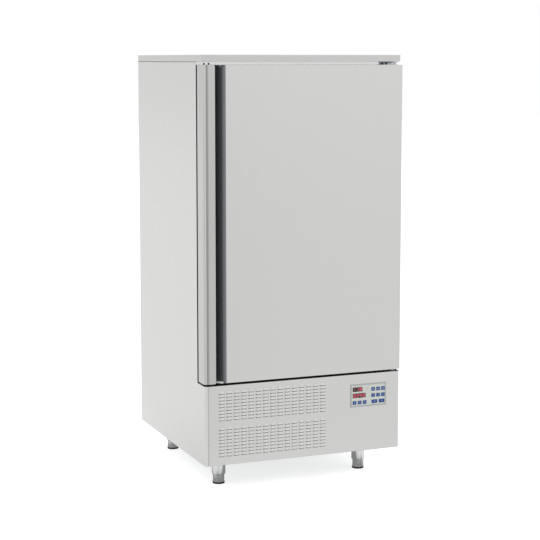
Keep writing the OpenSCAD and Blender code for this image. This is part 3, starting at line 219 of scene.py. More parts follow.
MATERIALS = {
    # Door and sides are ground up and down, the service panel and the cover from side to side
    "door_steel": satin_stainless("satin_stainless_upright", "#CDCDCC", (2.5, 2.5, 160), 0.26, 0.285),
    "panel_steel": satin_stainless("satin_stainless_across", "#CDCDCC", (160, 2.5, 2.5), 0.26, 0.285),
    # The cover is the panel's satin steel with a darker colour: painted shade
    "cover_steel_painted_shade": satin_stainless("satin_stainless_cover_painted_shade", "#C4C4C3", (160, 2.5, 2.5), 0.26, 0.285),
    "handle_steel": satin_stainless("satin_stainless_handle", "#BABAB9", (2.5, 2.5, 160), 0.17, 0.22),
    # The finger groove: painted shade and painted reflection, darkening inwards from its edge
    "groove_painted_shade": groove_painted_shade(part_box("door_outer_skin")[0].y),
    "frame_steel": satin_stainless("bright_stainless_frame", "#CDCECE", (3, 3, 120), 0.08, 0.12),
    "inner_steel": satin_stainless("bright_annealed_stainless", "#D2D3D3", (3, 160, 3), 0.2, 0.28),
    "galvanised": galvanised_steel(),
    # Poured foam: matt straw yellow, with cells a few tenths of a millimetre wide
    "foam": patterned("polyurethane_foam", "#D6C68E", 0.8, 4.0, ("#CDBB7E", "#DFD19D"), bump=0.2,
                      roughness=0.92),
    # Extruded soft PVC: dark grey and matt
    "gasket": patterned("soft_pvc", "#2E3032", 1.5, rough=(0.55, 0.7), bump=0.03, roughness=0.62),
    "cap": moulded("light_grey_abs", "#DCDDDD", "#D5D6D6", 0.9, 0.5),
    "gland": moulded("black_polyamide", "#1D1E20", "#17181A", 0.9, 0.5),
    "nylon": moulded("natural_nylon", "#DCD8CB", "#D3CFC1", 1.5, 0.45),
    # Zinc plating: bright bluish grey with a faint cloudiness
    "zinc": patterned("zinc_plated_steel", "#B4B8BB", 4, tones=("#A9AEB3", "#BBBEC0"), rough=(0.28, 0.4),
                      metallic=1.0),
    # Drawn and polished tube: a clear mirror with fine rings round it
    "tube": patterned("polished_stainless", "#D2D3D4", (60, 60, 1.2), rough=(0.14, 0.2), bump=0.006,
                      metallic=1.0),
    "rubber": moulded("black_rubber", "#202123", "#191A1B", 1.2, 0.75),
    "bezel": moulded("grey_abs", "#A0A6A6", "#989E9E", 0.9, 0.45),
    # Printed overlay: grey-green under a fine anti-glare texture
    "film": patterned("polyester_film", "#C3C7C1", 0.7, tones=("#C0C4BE", "#C6CAC4"), bump=0.01,
                      roughness=0.4),
    "film_line": moulded("printed_line", "#B4BAB3", "#AEB4AD", 0.9, 0.45),
    # Smoked window over the digits: nearly black and glossy
    "lens": patterned("smoked_acrylic", "#120709", 6, rough=(0.12, 0.2), Coat_Weight=0.4,
                      Coat_Roughness=0.06),
    "led": lit_segment(),
    "lamp": moulded("pink_lamp_lens", "#E89AA0", "#E08E96", 0.8, 0.3),
    "key": moulded("blue_polycarbonate", "#0A4188", "#083A7C", 0.9, 0.42),
    "symbol": moulded("pale_blue_print", "#B9CCE8", "#AEC3E2", 0.8, 0.45),
    # Paint of the compressor and motors: half gloss with slight orange peel
    "black_paint": patterned("stoved_black_paint", "#17181A", 3, rough=(0.34, 0.46), bump=0.05,
                             Coat_Weight=0.3, Coat_Roughness=0.25),
    # Thin rolled fins: light grey, half matt
    "fins": patterned("fin_aluminium", "#C9CCCF", (40, 2, 6), tones=("#BDC1C5", "#CFD2D4"),
                      rough=(0.32, 0.44), metallic=1.0),
    # Drawn tube that has dulled in patches of a centimetre
    "copper": patterned("drawn_copper", "#C47A56", 12, 3.0, ("#A9603F", "#CF8763"), (0.24, 0.42),
                        metallic=1.0),
    "box": moulded("grey_polycarbonate", "#8C8F92", "#84878A", 1.2, 0.5),
    "fan": moulded("black_glass_filled_polyamide", "#1E2023", "#181A1C", 1.2, 0.5),
    # Near-black sheets in the gaps beside and under the door and behind the cover's seam: painted shade
    "shade_sheet": moulded("black_painted_shade_sheet", "#0B0B0C", "#070708", 1.6, 0.9),
    # Near black, much darker than the zinc screws elsewhere
    "black_screw": moulded("near_black_steel", "#141516", "#0E0F10", 1.0, 0.4),
}


# ---- Pieces: helpers ----

def new_object(name, mesh):
    thing = bpy.data.objects.new(name, mesh)
    bpy.context.scene.collection.objects.link(thing)
    return thing


def from_bmesh(name, bm, material, recalculate=True):
    """An object made of a bmesh, with its doubles merged and its faces outwards."""
    bmesh.ops.remove_doubles(bm, verts=bm.verts, dist=1e-6)
    if recalculate:
        bmesh.ops.recalc_face_normals(bm, faces=bm.faces)
    mesh = bpy.data.meshes.new(name)
    bm.to_mesh(mesh)
    bm.free()
    mesh.materials.append(MATERIALS[material])
    return new_object(name, mesh)


def applied(thing):
    """Gives an object the plain mesh that its modifiers make of it."""
    graph = bpy.context.evaluated_depsgraph_get()
    mesh = bpy.data.meshes.new_from_object(thing.evaluated_get(graph), preserve_all_data_layers=True,
                                           depsgraph=graph)
    thing.modifiers.clear()
    thing.data = mesh
    return thing


def smooth(thing, sharp_angle=35):
    """Smooth shading, with edges sharp above an angle."""
    thing.data.shade_smooth()
    thing.data.set_sharp_from_angle(angle=math.radians(sharp_angle))
    return thing


def flatten(thing, weight=100, keep_sharp=False):
    """Lets the large faces decide the shading, so that flat sheets mirror as flat ones."""
    weigh = thing.modifiers.new("flats", "WEIGHTED_NORMAL")
    weigh.weight = weight
    weigh.keep_sharp = keep_sharp


def add_wall(thing, thickness, offset=0.0):
    """Gives a sheet its wall in millimetres: all behind it at an offset of -1, half at 0."""
    sheet = thing.modifiers.new("wall", "SOLIDIFY")
    sheet.thickness = thickness * MM
    sheet.offset = offset
    return sheet


def soften(thing, radius, segments=2, wall=0.0, angle=30):
    """Gives a sheet its wall, rounds the edges by a radius in millimetres and shades them smooth."""
    thing.data.shade_smooth()
    if wall:
        add_wall(thing, wall, -1.0).use_even_offset = True
    bevel = thing.modifiers.new("edges", "BEVEL")
    bevel.width = radius * MM
    bevel.segments = segments
    bevel.limit_method = "ANGLE"
    bevel.angle_limit = math.radians(angle)
    flatten(thing)
    return applied(thing)


def settle(thing, node, replaces=()):
    """Lets a piece ride on the body of a node, and hides the nodes that it replaces."""
    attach(thing, BODY_OF[node])
    if replaces:
        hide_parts(*replaces)
    return thing


def merged_copy(node, name, material):
    """A copy of a node's mesh with its loose triangles merged into whole faces."""
    bm = bmesh.new()
    bm.from_mesh(frame["nodes"][node].data)
    bmesh.ops.remove_doubles(bm, verts=bm.verts, dist=1e-6)
    bmesh.ops.dissolve_limit(bm, angle_limit=math.radians(1), verts=bm.verts, edges=bm.edges)
    return from_bmesh(name, bm, material, recalculate=False)


def finished(node, material, radius=0.3, segments=2):
    """A node's own shape with softened edges; a radius of 0 leaves the edges and smooths the rest."""
    thing = merged_copy(node, node + "_finished", material)
    if radius:
        soften(thing, radius, segments)
    else:
        smooth(thing)
    return settle(thing, node, replaces=[node])


def second_finish(thing, material, is_other):
    """Gives the faces whose centre passes a test another material."""
    thing.data.materials.append(MATERIALS[material])
    for face in thing.data.polygons:
        if is_other(face.center):
            face.material_index = 1
    return thing


def box_into(bm, low, high):
    """Adds a box given by its two corners."""
    size = Vector(high) - Vector(low)
    middle = (Vector(high) + Vector(low)) / 2
    bmesh.ops.create_cube(bm, size=1.0, matrix=Matrix.Translation(middle) @ Matrix.Diagonal((*size, 1.0)))


def rounded_outline(width, height, radius, steps=5):
    """A rounded rectangle about the origin, as points (x, z), anticlockwise."""
    points = []
    for quarter, (sx, sz) in enumerate(((1, 1), (-1, 1), (-1, -1), (1, -1))):
        for i in range(steps + 1):
            a = math.pi / 2 * (quarter + i / steps)
            points.append((sx * (width / 2 - radius) + radius * math.cos(a),
                           sz * (height / 2 - radius) + radius * math.sin(a)))
    return points


def band_into(bm, first, second):
    """Joins two closed rings of vertices by a band of faces."""
    for k in range(len(first)):
        n = (k + 1) % len(first)
        bm.faces.new((first[k], first[n], second[n], second[k]))


def sheet_into(bm, rows):
    """Joins rows of vertices to a sheet."""
    for first, second in zip(rows, rows[1:]):
        for j in range(len(first) - 1):
            bm.faces.new((first[j], first[j + 1], second[j + 1], second[j]))


def plate_into(bm, front, back):
    """Adds a plate between two outlines, given by their points."""
    ahead = [bm.verts.new(point) for point in front]
    behind = [bm.verts.new(point) for point in back]
    bm.faces.new(ahead)
    bm.faces.new(behind[::-1])
    band_into(bm, behind, ahead)


def prism_into(bm, outline, x, z, front, back):
    """Adds a plate along Y whose outline in X and Z is moved to x and z."""
    plate_into(bm, *([(x + px, y, z + pz) for px, pz in outline] for y in (front, back)))


def tube_into(bm, points, radius, sides=12):
    """Adds a closed round tube that follows points, with its rings square to the path."""
    points = [Vector(p) for p in points]
    rings = []
    side = None
    for i, point in enumerate(points):
        along = (points[min(i + 1, len(points) - 1)] - points[max(i - 1, 0)]).normalized()
        if side is None:
            side = along.orthogonal().normalized()
        side = (side - along * side.dot(along)).normalized()
        up = along.cross(side)
        rings.append([bm.verts.new(point + radius * (math.cos(a) * side + math.sin(a) * up))
                      for a in (2 * math.pi * k / sides for k in range(sides))])
    for first, second in zip(rings, rings[1:]):
        band_into(bm, first, second)
    bm.faces.new(rings[0][::-1])
    bm.faces.new(rings[-1])


def lathe_into(bm, profile, matrix=Matrix.Identity(4), steps=48):
    """Adds a turned shape: profile points are (radius, height) about the matrix's Z axis, in mm."""
    rings = []
    for radius, height in profile:
        angles = [2 * math.pi * k / steps for k in range(steps)] if radius else [0]
        ring = [MM * Vector((radius * math.cos(a), radius * math.sin(a), height)) for a in angles]
        rings.append([bm.verts.new(matrix @ point) for point in ring])
    for first, second in zip(rings, rings[1:]):
        for k in range(steps):
            n = (k + 1) % steps
            corners = [first[k % len(first)], first[n % len(first)], second[n % len(second)],
                       second[k % len(second)]]
            kept = [v for i, v in enumerate(corners) if v not in corners[:i]]
            if len(kept) > 2:
                bm.faces.new(kept)


# ---- Geometry nodes ----

GRID_LEVELS = ("Column", "Row", "Block")


def copying_tree(name, sockets, copies_of):
    """A geometry tree with named inputs that places copies, makes them real and paints them."""
    tree = bpy.data.node_groups.new(name, "GeometryNodeTree")
    tree.is_modifier = True
    for label, kind in [("Geometry", "Geometry")] + sockets + [("Material", "Material")]:
        tree.interface.new_socket(label, in_out="INPUT", socket_type="NodeSocket" + kind)
    tree.interface.new_socket("Geometry", in_out="OUTPUT", socket_type="NodeSocketGeometry")
    given = add(tree, "NodeGroupInput").outputs
    real = add(tree, "GeometryNodeRealizeInstances", {"Geometry": copies_of(tree, given)})
    painted = add(tree, "GeometryNodeSetMaterial",
                  {"Geometry": real.outputs["Geometry"], "Material": given["Material"]})
    add(tree, "NodeGroupOutput", {"Geometry": painted.outputs["Geometry"]})
    return tree


def grid_of(tree, given):
    """The tree's own geometry in columns, rows and blocks, each a count of copies and a step."""
    shape = given["Geometry"]
    for level in GRID_LEVELS:
        line = add(tree, "GeometryNodeMeshLine",
                   {"Count": given[level + " Count"], "Offset": given[level + " Step"]}, mode="OFFSET")
        copies = add(tree, "GeometryNodeInstanceOnPoints",
                     {"Points": line.outputs["Mesh"], "Instance": shape})
        shape = copies.outputs["Instances"]
    return shape


def seats_of(tree, given):
    """A copy of the given object on each vertex, with its Z axis along the attribute facing."""
    copy = add(tree, "GeometryNodeObjectInfo", {"Object": given["Copy"]})
    facing = add(tree, "GeometryNodeInputNamedAttribute", {"Name": "facing"}, data_type="FLOAT_VECTOR")
    turned = add(tree, "FunctionNodeAlignRotationToVector", {"Vector": facing.outputs["Attribute"]}, axis="Z")
    copies = add(tree, "GeometryNodeInstanceOnPoints",
                 {"Points": given["Geometry"], "Instance": copy.outputs["Geometry"],
                  "Rotation": turned.outputs["Rotation"]})
    return copies.outputs["Instances"]


GRID = copying_tree("repeat_on_a_grid", [(level + part, kind) for level in GRID_LEVELS
                                         for part, kind in ((" Count", "Int"), (" Step", "Vector"))], grid_of)
SEATS = copying_tree("copies_on_seats", [("Copy", "Object")], seats_of)


def grown(thing, tree, values):
    """Applies a geometry tree with the given inputs, set by their sockets' identifiers."""
    modifier = thing.modifiers.new("grown", "NODES")
    modifier.node_group = tree
    for item in tree.interface.items_tree:
        if item.in_out == "INPUT" and item.name in values:
            modifier[item.identifier] = values[item.name]
    return applied(thing)


def repeated(thing, material, **levels):
    """A grid of copies: column, row and block are each a count and a step in metres."""
    values = {"Material": MATERIALS[material]}
    for level in GRID_LEVELS:
        values[level + " Count"], values[level + " Step"] = levels.get(level.lower(), (1, (0, 0, 0)))
    return grown(thing, GRID, values)


def on_seats(name, copy, seats, material):
    """One object with a copy on each seat, a point and the direction that it faces."""
    mesh = bpy.data.meshes.new(name)
    mesh.from_pydata([point for point, _ in seats], [], [])
    facing = mesh.attributes.new("facing", "FLOAT_VECTOR", "POINT")
    facing.data.foreach_set("vector", [c for _, direction in seats for c in direction])
    return grown(new_object(name, mesh), SEATS, {"Copy": copy, "Material": MATERIALS[material]})


# ---- Cabinet sheets ----

FOLD_R = 1.6          # outer radius of a fold in the outer sheets, in mm
SHEET_T = 1.0         # thickness of the sheets, in mm


def folded_box(name, low, high, open_sides, material):
    """A box folded from one sheet, open at the named sides, such as "-z"."""
    bm = bmesh.new()
    box_into(bm, low, high)
    normals = [Vector([int(side[0] + "1") * (side[1] == axis) for axis in "xyz"]) for side in open_sides]
    bm.normal_update()
    gone = [f for f in bm.faces if any(f.normal.dot(normal) > 0.9 for normal in normals)]
    bmesh.ops.delete(bm, geom=gone, context="FACES")
    folds = [e for e in bm.edges if len(e.link_faces) == 2]
    bmesh.ops.bevel(bm, geom=folds, offset=FOLD_R * MM, segments=4, profile=0.5, affect="EDGES")
    return from_bmesh(name, bm, material)


def turn_outwards(thing, middle):
    """Reverses an open sheet's faces if they look towards its middle."""
    bm = bmesh.new()
    bm.from_mesh(thing.data)
    outward = sum(f.normal.dot(f.calc_center_median() - middle) * f.calc_area() for f in bm.faces)
    if outward < 0:
        bmesh.ops.reverse_faces(bm, faces=bm.faces)
        bm.to_mesh(thing.data)
    bm.free()


def cover_and_door_skin():
    """The top cover and the door's outer skin, each folded from one sheet."""
    for node, open_sides, material in (("top_cover", ["-z"], "cover_steel_painted_shade"),
                                       ("door_outer_skin", ["+y", "-x"], "door_steel")):
        low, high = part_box(node)
        skin = folded_box(node + "_folded", low, high, open_sides, material)
        turn_outwards(skin, (low + high) / 2)
        soften(skin, 0.25, wall=SHEET_T, angle=60)
        settle(skin, node, replaces=[node])


LOUVRE = {"x0": -345.0, "columns": 15, "pitch_x": 29.07, "w": 21.5, "h": 8.4, "out": 4.0,
          "z0": 144.8, "rows": 9, "pitch_z": 12.45, "block": 135.6, "slit": 2.8}
HOOD_T = 0.9          # thickness of the stretched sheet in the hoods
PANEL_R = 16.0        # outer radius of the service panel's upright corners
BEZEL_RIM = 4.0       # width of the control unit's rim, which covers the window's edge
FLANGE_TOP = 66.0     # depth of the service panel's top flange
FLANGE_LOW = 20.0     # depth of its bottom flange
HINGE_CUT_X = 336.0   # the top flange ends here, beside the lower hinge arm


def service_panel():
    """The panel below the door: one sheet with round upright corners, two flanges, the
    control unit's window and a cell for each louvre."""
    low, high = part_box("front_service_panel")
    face = low.y + LOUVRE["out"] * MM
    unit_low, unit_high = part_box("control_housing")
    rim = BEZEL_RIM * MM
    window = (unit_low.x + rim, unit_high.x - rim, unit_low.z + rim, unit_high.z - rim)
    lefts = [(LOUVRE["x0"] + i * LOUVRE["pitch_x"]) * MM for i in range(LOUVRE["columns"])]
    lips = [(LOUVRE["z0"] + block * LOUVRE["block"] + i * LOUVRE["pitch_z"]) * MM
            for block in (0, 1) for i in range(LOUVRE["rows"])]
    width, slit, hood = (LOUVRE[key] * MM for key in ("w", "slit", "h"))

    # The plan runs round the cabinet's front; each point has its place and its outward direction
    radius = PANEL_R * MM
    angles = [math.pi / 2 * i / 10 for i in range(11)]
    cuts = sorted([x for left in lefts for x in (left, left + width)] + [*window[:2], HINGE_CUT_X * MM])
    left_side = [(Vector((low.x, y)), Vector((-1, 0)))
                 for y in (high.y, face + FLANGE_TOP * MM, face + FLANGE_LOW * MM)]
    corner = [(Vector((low.x + radius * (1 - math.cos(a)), face + radius * (1 - math.sin(a)))),
               Vector((-math.cos(a), -math.sin(a)))) for a in angles]
    half = left_side + corner
    plan = half + [(Vector((x, face)), Vector((0, -1))) for x in cuts]
    plan += [(Vector((-p.x, p.y)), Vector((-n.x, n.y))) for p, n in reversed(half)]

    # The levels run up the sheet; each has its height and how far its fold takes it inwards
    fold = FOLD_R * MM
    turns = [math.pi / 2 * i / 4 for i in range(1, 5)]
    flat = sorted([low.z + fold, high.z - fold, *window[2:]]
                  + [z for lip in lips for z in (lip - slit, lip + hood)])
    levels = [(low.z + fold * (1 - math.sin(a)), fold * (1 - math.cos(a))) for a in reversed(turns)]
    levels += [(z, 0) for z in flat]
    levels += [(high.z - fold * (1 - math.sin(a)), fold * (1 - math.cos(a))) for a in turns]

    def is_hole(x, z):
        in_window = window[0] < x < window[1] and window[2] < z < window[3]
        in_louvre = (any(left < x < left + width for left in lefts)
                     and any(lip - slit < z < lip + hood for lip in lips))
        return in_window or in_louvre

    bm = bmesh.new()
    grid = []
    for place, normal in plan:
        grid.append([bm.verts.new((*(place - normal * inwards), z)) for z, inwards in levels])
    for i in range(len(plan) - 1):
        for j in range(len(levels) - 1):
            on_front = max(plan[i][0].y, plan[i + 1][0].y) < face + 0.001 * MM
            x = (plan[i][0].x + plan[i + 1][0].x) / 2
            if not (on_front and is_hole(x, (levels[j][0] + levels[j + 1][0]) / 2)):
                bm.faces.new((grid[i][j], grid[i + 1][j], grid[i + 1][j + 1], grid[i][j + 1]))
    hinge_side = next(i for i, (place, _) in enumerate(plan) if place.x > (HINGE_CUT_X - 0.01) * MM)
    top = [column[-1] for column in grid[1:hinge_side + 1]]
    bm.faces.new(top + [bm.verts.new((HINGE_CUT_X * MM, face + FLANGE_TOP * MM, high.z))])
    bm.faces.new([column[0] for column in reversed(grid[2:-2])])
    panel = from_bmesh("front_service_panel_sheet", bm, "panel_steel")
    turn_outwards(panel, (low + high) / 2)
    soften(panel, 0.2, wall=SHEET_T, angle=60)
    settle(panel, "front_service_panel", replaces=["front_service_panel"])

    hoods = from_bmesh("louvres", hood_shape(face), "panel_steel", recalculate=False)
    add_wall(hoods, HOOD_T, -1.0)
    applied(hoods)
    repeated(hoods, "panel_steel",
             column=(LOUVRE["columns"], (LOUVRE["pitch_x"] * MM, 0, 0)),
             row=(LOUVRE["rows"], (0, 0, LOUVRE["pitch_z"] * MM)),
             block=(2, (0, 0, LOUVRE["block"] * MM)))
    smooth(hoods, 50)
    settle(hoods, "front_service_panel")


COVER_SEAM = 1.5      # open seam between a side panel and the top cover, in mm
SHADE_SHEET_T = 0.3          # thickness of the black sheets of painted shade
SHADE_SHEET_W = 8.0          # its width along the mouth frame's outer edges
FLANGE_SHADE_SHEET = 36.0    # its depth on the service panel's top flange
SHADE_SHEET_INSET = 2.2      # how far it stays behind the flange's edges


def side_panel(node):
    """A side panel whose top edge leaves a shadow line under the cover, darkened further by a sheet of
    painted shade behind it.
    """
    panel = finished(node, "door_steel", 0.35)
    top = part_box(node)[1].z
    for vertex in panel.data.vertices:
        if vertex.co.z > top - COVER_SEAM * MM:
            vertex.co.z -= COVER_SEAM * MM


def black_tapes():
    """Black sheets of painted shade, which make the gaps read dark: along the mouth frame's outer edges
    beside the door, on the panel's top flange under the door, and behind the seam between each side panel and
    the cover."""
    frame_low, frame_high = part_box("mouth_frame")
    side_low, side_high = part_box("left_side_panel")
    panel_low, panel_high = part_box("front_service_panel")
    door_low, door_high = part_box("door_outer_skin")
    shade_sheet = SHADE_SHEET_T * MM
    bm = bmesh.new()
    for sign in (-1, 1):
        edges = sorted((sign * (frame_high.x - SHADE_SHEET_W * MM), sign * (frame_high.x - 0.2 * MM)))
        box_into(bm, (edges[0], frame_low.y - shade_sheet, door_low.z),
                 (edges[1], frame_low.y, door_high.z - 1 * MM))
        edges = sorted((sign * (frame_high.x - 0.1 * MM), sign * (frame_high.x + shade_sheet)))
        box_into(bm, (edges[0], side_low.y, side_high.z - COVER_SEAM * MM),
                 (edges[1], side_high.y, side_high.z))
    face = panel_low.y + LOUVRE["out"] * MM
    radius, corner = (PANEL_R - SHADE_SHEET_INSET) * MM, PANEL_R * MM
    x_end = (HINGE_CUT_X - 2) * MM
    outline = [(panel_low.x + SHADE_SHEET_INSET * MM, face + FLANGE_SHADE_SHEET * MM)]
    outline += [(panel_low.x + corner - radius * math.cos(a), face + corner - radius * math.sin(a))
                for a in (math.pi / 2 * i / 8 for i in range(9))]
    outline += [(x_end, face + SHADE_SHEET_INSET * MM), (x_end, face + FLANGE_SHADE_SHEET * MM)]
    levels = (panel_high.z - 0.05 * MM, panel_high.z + shade_sheet)
    plate_into(bm, *([(x, y, z) for x, y in outline] for z in levels))
    settle(from_bmesh("black_tapes", bm, "shade_sheet"), "mouth_frame")


def hood_shape(face):
    """One pressed hood: it leans out of the panel from its top and its two ends, and is cut
    free along its lower lip, over an open slit."""
    columns, rows = 16, 6
    bm = bmesh.new()
    grid = []
    for i in range(columns + 1):
        u = 0.5 - 0.5 * math.cos(math.pi * i / columns)
        swell = LOUVRE["out"] * (1 - abs(2 * u - 1) ** 5)
        x = (LOUVRE["x0"] + u * LOUVRE["w"]) * MM
        grid.append([bm.verts.new((x, face - swell * (j / rows) ** 1.4 * MM,
                                   (LOUVRE["z0"] + LOUVRE["h"] * (1 - j / rows)) * MM))
                     for j in range(rows + 1)])
    sheet_into(bm, grid)
    return bm


# ---- Control unit ----

# Sizes and places in mm from the unit's upper left corner, across and down
CONTROL_W, CONTROL_H = 151.0, 89.0
BORDER_IN = 6.4       # from the unit's edge to the printed border
DIVIDER_X = 80        # the printed line between the displays and the keys
KEY_H = 13.5
SMALL_KEYS = {
    "key_high_left": (95.8, 23.4, "lines"), "key_high_middle": (116.7, 23.4, "bars"),
    "key_high_right": (137.3, 23.4, "flake"), "key_mid_left": (95.8, 47.6, "left"),
    "key_mid_middle": (116.7, 47.6, "ring"), "key_mid_right": (137.3, 47.6, "right"),
    "key_low_left": (17.1, 72, "plus"), "key_low_middle": (38.6, 72, "up"),
    "key_low_right": (59.9, 72, "down"),
}
WIDE_KEYS = {"key_wide_left": (101.3, 72, "clock"), "key_wide_right": (132.0, 72, "switch")}
DISPLAYS = ((9.2, 20.4, 41.1, 17.6, "-18", 3), (9.2, 44.5, 54.8, 18.2, "02:40", 4))
LAMPS = ((56.7, 17.5), (68, 17.5), (68, 26.5))


def symbol_strokes(kind):
    """A key's symbol as strokes in millimetres, each a list of points (x, z)."""
    circle = [(2.9 * math.cos(a), 2.9 * math.sin(a)) for a in (math.pi * i / 8 for i in range(17))]
    open_ring = [(2.9 * math.cos(a), 2.9 * math.sin(a)) for a in
                 (math.radians(125 + 290 * i / 14) for i in range(15))]
    return {
        "lines": [[(-3, z), (3, z)] for z in (2.4, 0, -2.4)],
        "bars": [[(x, -2.6), (x, h)] for x, h in ((-2.6, 0), (0, 1.6), (2.6, 3))],
        "flake": [[(3 * math.cos(a), 3 * math.sin(a)), (-3 * math.cos(a), -3 * math.sin(a))]
                  for a in (math.pi * i / 3 + math.pi / 2 for i in range(3))],
        "left": [[(2, 2.8), (-2, 0), (2, -2.8)]],
        "right": [[(-2, 2.8), (2, 0), (-2, -2.8)]],
        "up": [[(-2.8, -1.6), (0, 1.8), (2.8, -1.6)]],
        "down": [[(-2.8, 1.6), (0, -1.8), (2.8, 1.6)]],
        "plus": [[(-2.8, 0), (2.8, 0)], [(0, -2.8), (0, 2.8)]],
        "ring": [circle],
        "clock": [circle, [(0, 2), (0, 0), (1.6, 0)]],
        "switch": [open_ring, [(0, 0.6), (0, 3.6)]],
    }[kind]


def stroke_into(bm, points, width, x, z, front, back):
    """Adds a flat stroke of a width along points, as one plate for each step."""
    for (ax, az), (bx, bz) in zip(points, points[1:]):
        along = Vector((bx - ax, bz - az))
        reach = along.normalized() * width * 0.3
        across = Vector((-along.y, along.x)).normalized() * width / 2
        a, b = Vector((ax, az)) - reach, Vector((bx, bz)) + reach
        outline = [tuple((p + s * across) * MM) for p, s in ((a, -1), (b, -1), (b, 1), (a, 1))]
        prism_into(bm, outline, x, z, front, back)


SEGMENTS = {"0": "abcdef", "1": "bc", "2": "abdeg", "4": "bcfg", "8": "abcdefg", "-": "g"}


def digit_into(bm, character, x, z, height, front, back):
    """Adds the lit segments of one digit, which leans to the right as such digits do."""
    w, h = height * 0.5, height
    ends = {"a": ((0, h), (w, h)), "b": ((w, h), (w, h / 2)), "c": ((w, h / 2), (w, 0)),
            "d": ((0, 0), (w, 0)), "e": ((0, h / 2), (0, 0)), "f": ((0, h), (0, h / 2)),
            "g": ((0, h / 2), (w, h / 2))}
    lean = 0.12
    for name in SEGMENTS[character]:
        a, b = (Vector((px - w / 2 + lean * (pz - h / 2), pz - h / 2)) for px, pz in ends[name])
        short = (b - a).normalized() * height * 0.07
        stroke_into(bm, [tuple(a + short), tuple(b - short)], height * 0.15, x, z, front, back)


def control_unit():
    """Rim, overlay with its printed lines, displays with lit digits, lamps and keys."""
    low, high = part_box("control_housing")
    film_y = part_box("control_overlay")[0].y
    left, top = low.x, high.z
    finished("control_housing", "bezel", 0.35, 3)
    finished("control_overlay", "film", 0.12, 1)

    # Printed lines of the overlay: a border, and a line between its two halves
    bm = bmesh.new()
    line, print_t = 0.7, 0.06
    front, back = film_y - print_t * MM, film_y + 0.02 * MM
    x0, x1, z0, z1 = BORDER_IN, CONTROL_W - BORDER_IN, -BORDER_IN, BORDER_IN - CONTROL_H
    for stroke in ([(x0, z0), (x1, z0)], [(x0, z1), (x1, z1)], [(x0, z0), (x0, z1)], [(x1, z0), (x1, z1)],
                   [(DIVIDER_X, z0 - 4), (DIVIDER_X, z1 + 4)]):
        stroke_into(bm, stroke, line, left, top, front, back)
    settle(from_bmesh("overlay_print", bm, "film_line"), "control_overlay")

    # Display windows with their digits, and the lamps
    lens = bmesh.new()
    digits = bmesh.new()
    lamps = bmesh.new()
    lens_front = film_y - 0.08 * MM
    digit_front = lens_front - 0.05 * MM
    lens_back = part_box("display_windows")[1].y
    for x, down, w, h, text, places in DISPLAYS:
        cx, cz = left + (x + w / 2) * MM, top - down * MM
        pane = rounded_outline((w - 0.3) * MM, (h - 0.3) * MM, 1 * MM)
        prism_into(lens, pane, cx, cz, lens_front, lens_back)
        pitch = (w - 3) / places
        place = 0
        for character in text:
            if character == ":":
                for dz in (-2.6, 2.6):
                    dot = rounded_outline(1.6 * MM, 1.6 * MM, 0.5 * MM, 3)
                    prism_into(digits, dot, cx + (place - places / 2) * pitch * MM, cz + dz * MM,
                               digit_front, lens_front + 0.02 * MM)
                continue
            digit_into(digits, character, cx + (place + 0.5 - places / 2) * pitch * MM, cz, h * 0.68,
                       digit_front, lens_front + 0.02 * MM)
            place += 1
    for x, down in LAMPS:
        prism_into(lamps, rounded_outline(5.3 * MM, 2.4 * MM, 0.8 * MM), left + x * MM, top - down * MM,
                   lens_front, lens_back)
    windows = soften(from_bmesh("display_lenses", lens, "lens"), 0.15)
    settle(windows, "display_windows", replaces=["display_windows"])
    settle(from_bmesh("display_digits", digits, "led"), "display_windows")
    settle(soften(from_bmesh("signal_lamps", lamps, "lamp"), 0.1), "display_windows")

    # Keys: a rounded cap on the flange that stays behind the overlay, and a printed symbol
    for keys, width in ((SMALL_KEYS, 15.0), (WIDE_KEYS, 24.0)):
        for node, (x, down, kind) in keys.items():
            node_low, node_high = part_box(node)
            cx, cz = left + x * MM, top - down * MM
            bm = bmesh.new()
            cap = rounded_outline(width * MM, KEY_H * MM, 2.6 * MM)
            flange_y = film_y + 1.15 * MM
            prism_into(bm, cap, cx, cz, node_low.y, flange_y + 0.1 * MM)
            flange = rounded_outline(node_high.x - node_low.x, node_high.z - node_low.z, 2.8 * MM)
            prism_into(bm, flange, cx, cz, flange_y, node_high.y)
            cap_piece = soften(from_bmesh(node + "_cap", bm, "key"), 0.3, 3)
            settle(cap_piece, node, replaces=[node])
            bm = bmesh.new()
            for points in symbol_strokes(kind):
                stroke_into(bm, points, 0.9, cx, cz, node_low.y - 0.04 * MM, node_low.y + 0.02 * MM)
            settle(from_bmesh(node + "_symbol", bm, "symbol"), node)


# ---- Door ----

LIP_W = 40.5          # width of the pull lip, in mm
LIP_T = 12.5          # its thickness, front to back
LIP_SIDE = 3.0        # thickness of its outer side, which isn't part of the finger groove


def door_gasket():
    """A soft profile round the door: base strip, bellows and magnet tube, mitred at the corners."""
    low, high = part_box("door_gasket")
    depth = (high.y - low.y) / MM
    # Distance inwards from the outer edge and height above the door's back, in mm
    profile = [(1.2, 0), (0, 0.8), (0, 2.2), (1.0, 3.0), (4.5, 3.2), (6.0, 4.4), (4.2, 5.8), (4.0, 7.0),
               (2.0, depth - 4.8), (1.0, depth - 4.0), (1.0, depth - 0.9), (1.9, depth),
               (20.1, depth), (21.0, depth - 0.9), (21.0, depth - 4.0), (20.0, depth - 4.8),
               (18.0, 7.0), (17.8, 5.8), (16.0, 4.4), (17.5, 3.2), (21.0, 3.0), (22.0, 2.2), (22.0, 0.8),
               (20.8, 0)]
    bm = bmesh.new()
    rings = []
    for inwards, up in profile:
        d, y = inwards * MM, low.y + up * MM
        rings.append([bm.verts.new((x, y, z)) for x, z in
                      ((low.x + d, low.z + d), (high.x - d, low.z + d), (high.x - d, high.z - d),
                       (low.x + d, high.z - d))])
    for ring, following in zip(rings, rings[1:] + rings[:1]):
        band_into(bm, ring, following)
    gasket = smooth(from_bmesh("door_gasket_profile", bm, "gasket"), 50)
    settle(gasket, "door_gasket", replaces=["door_gasket"])


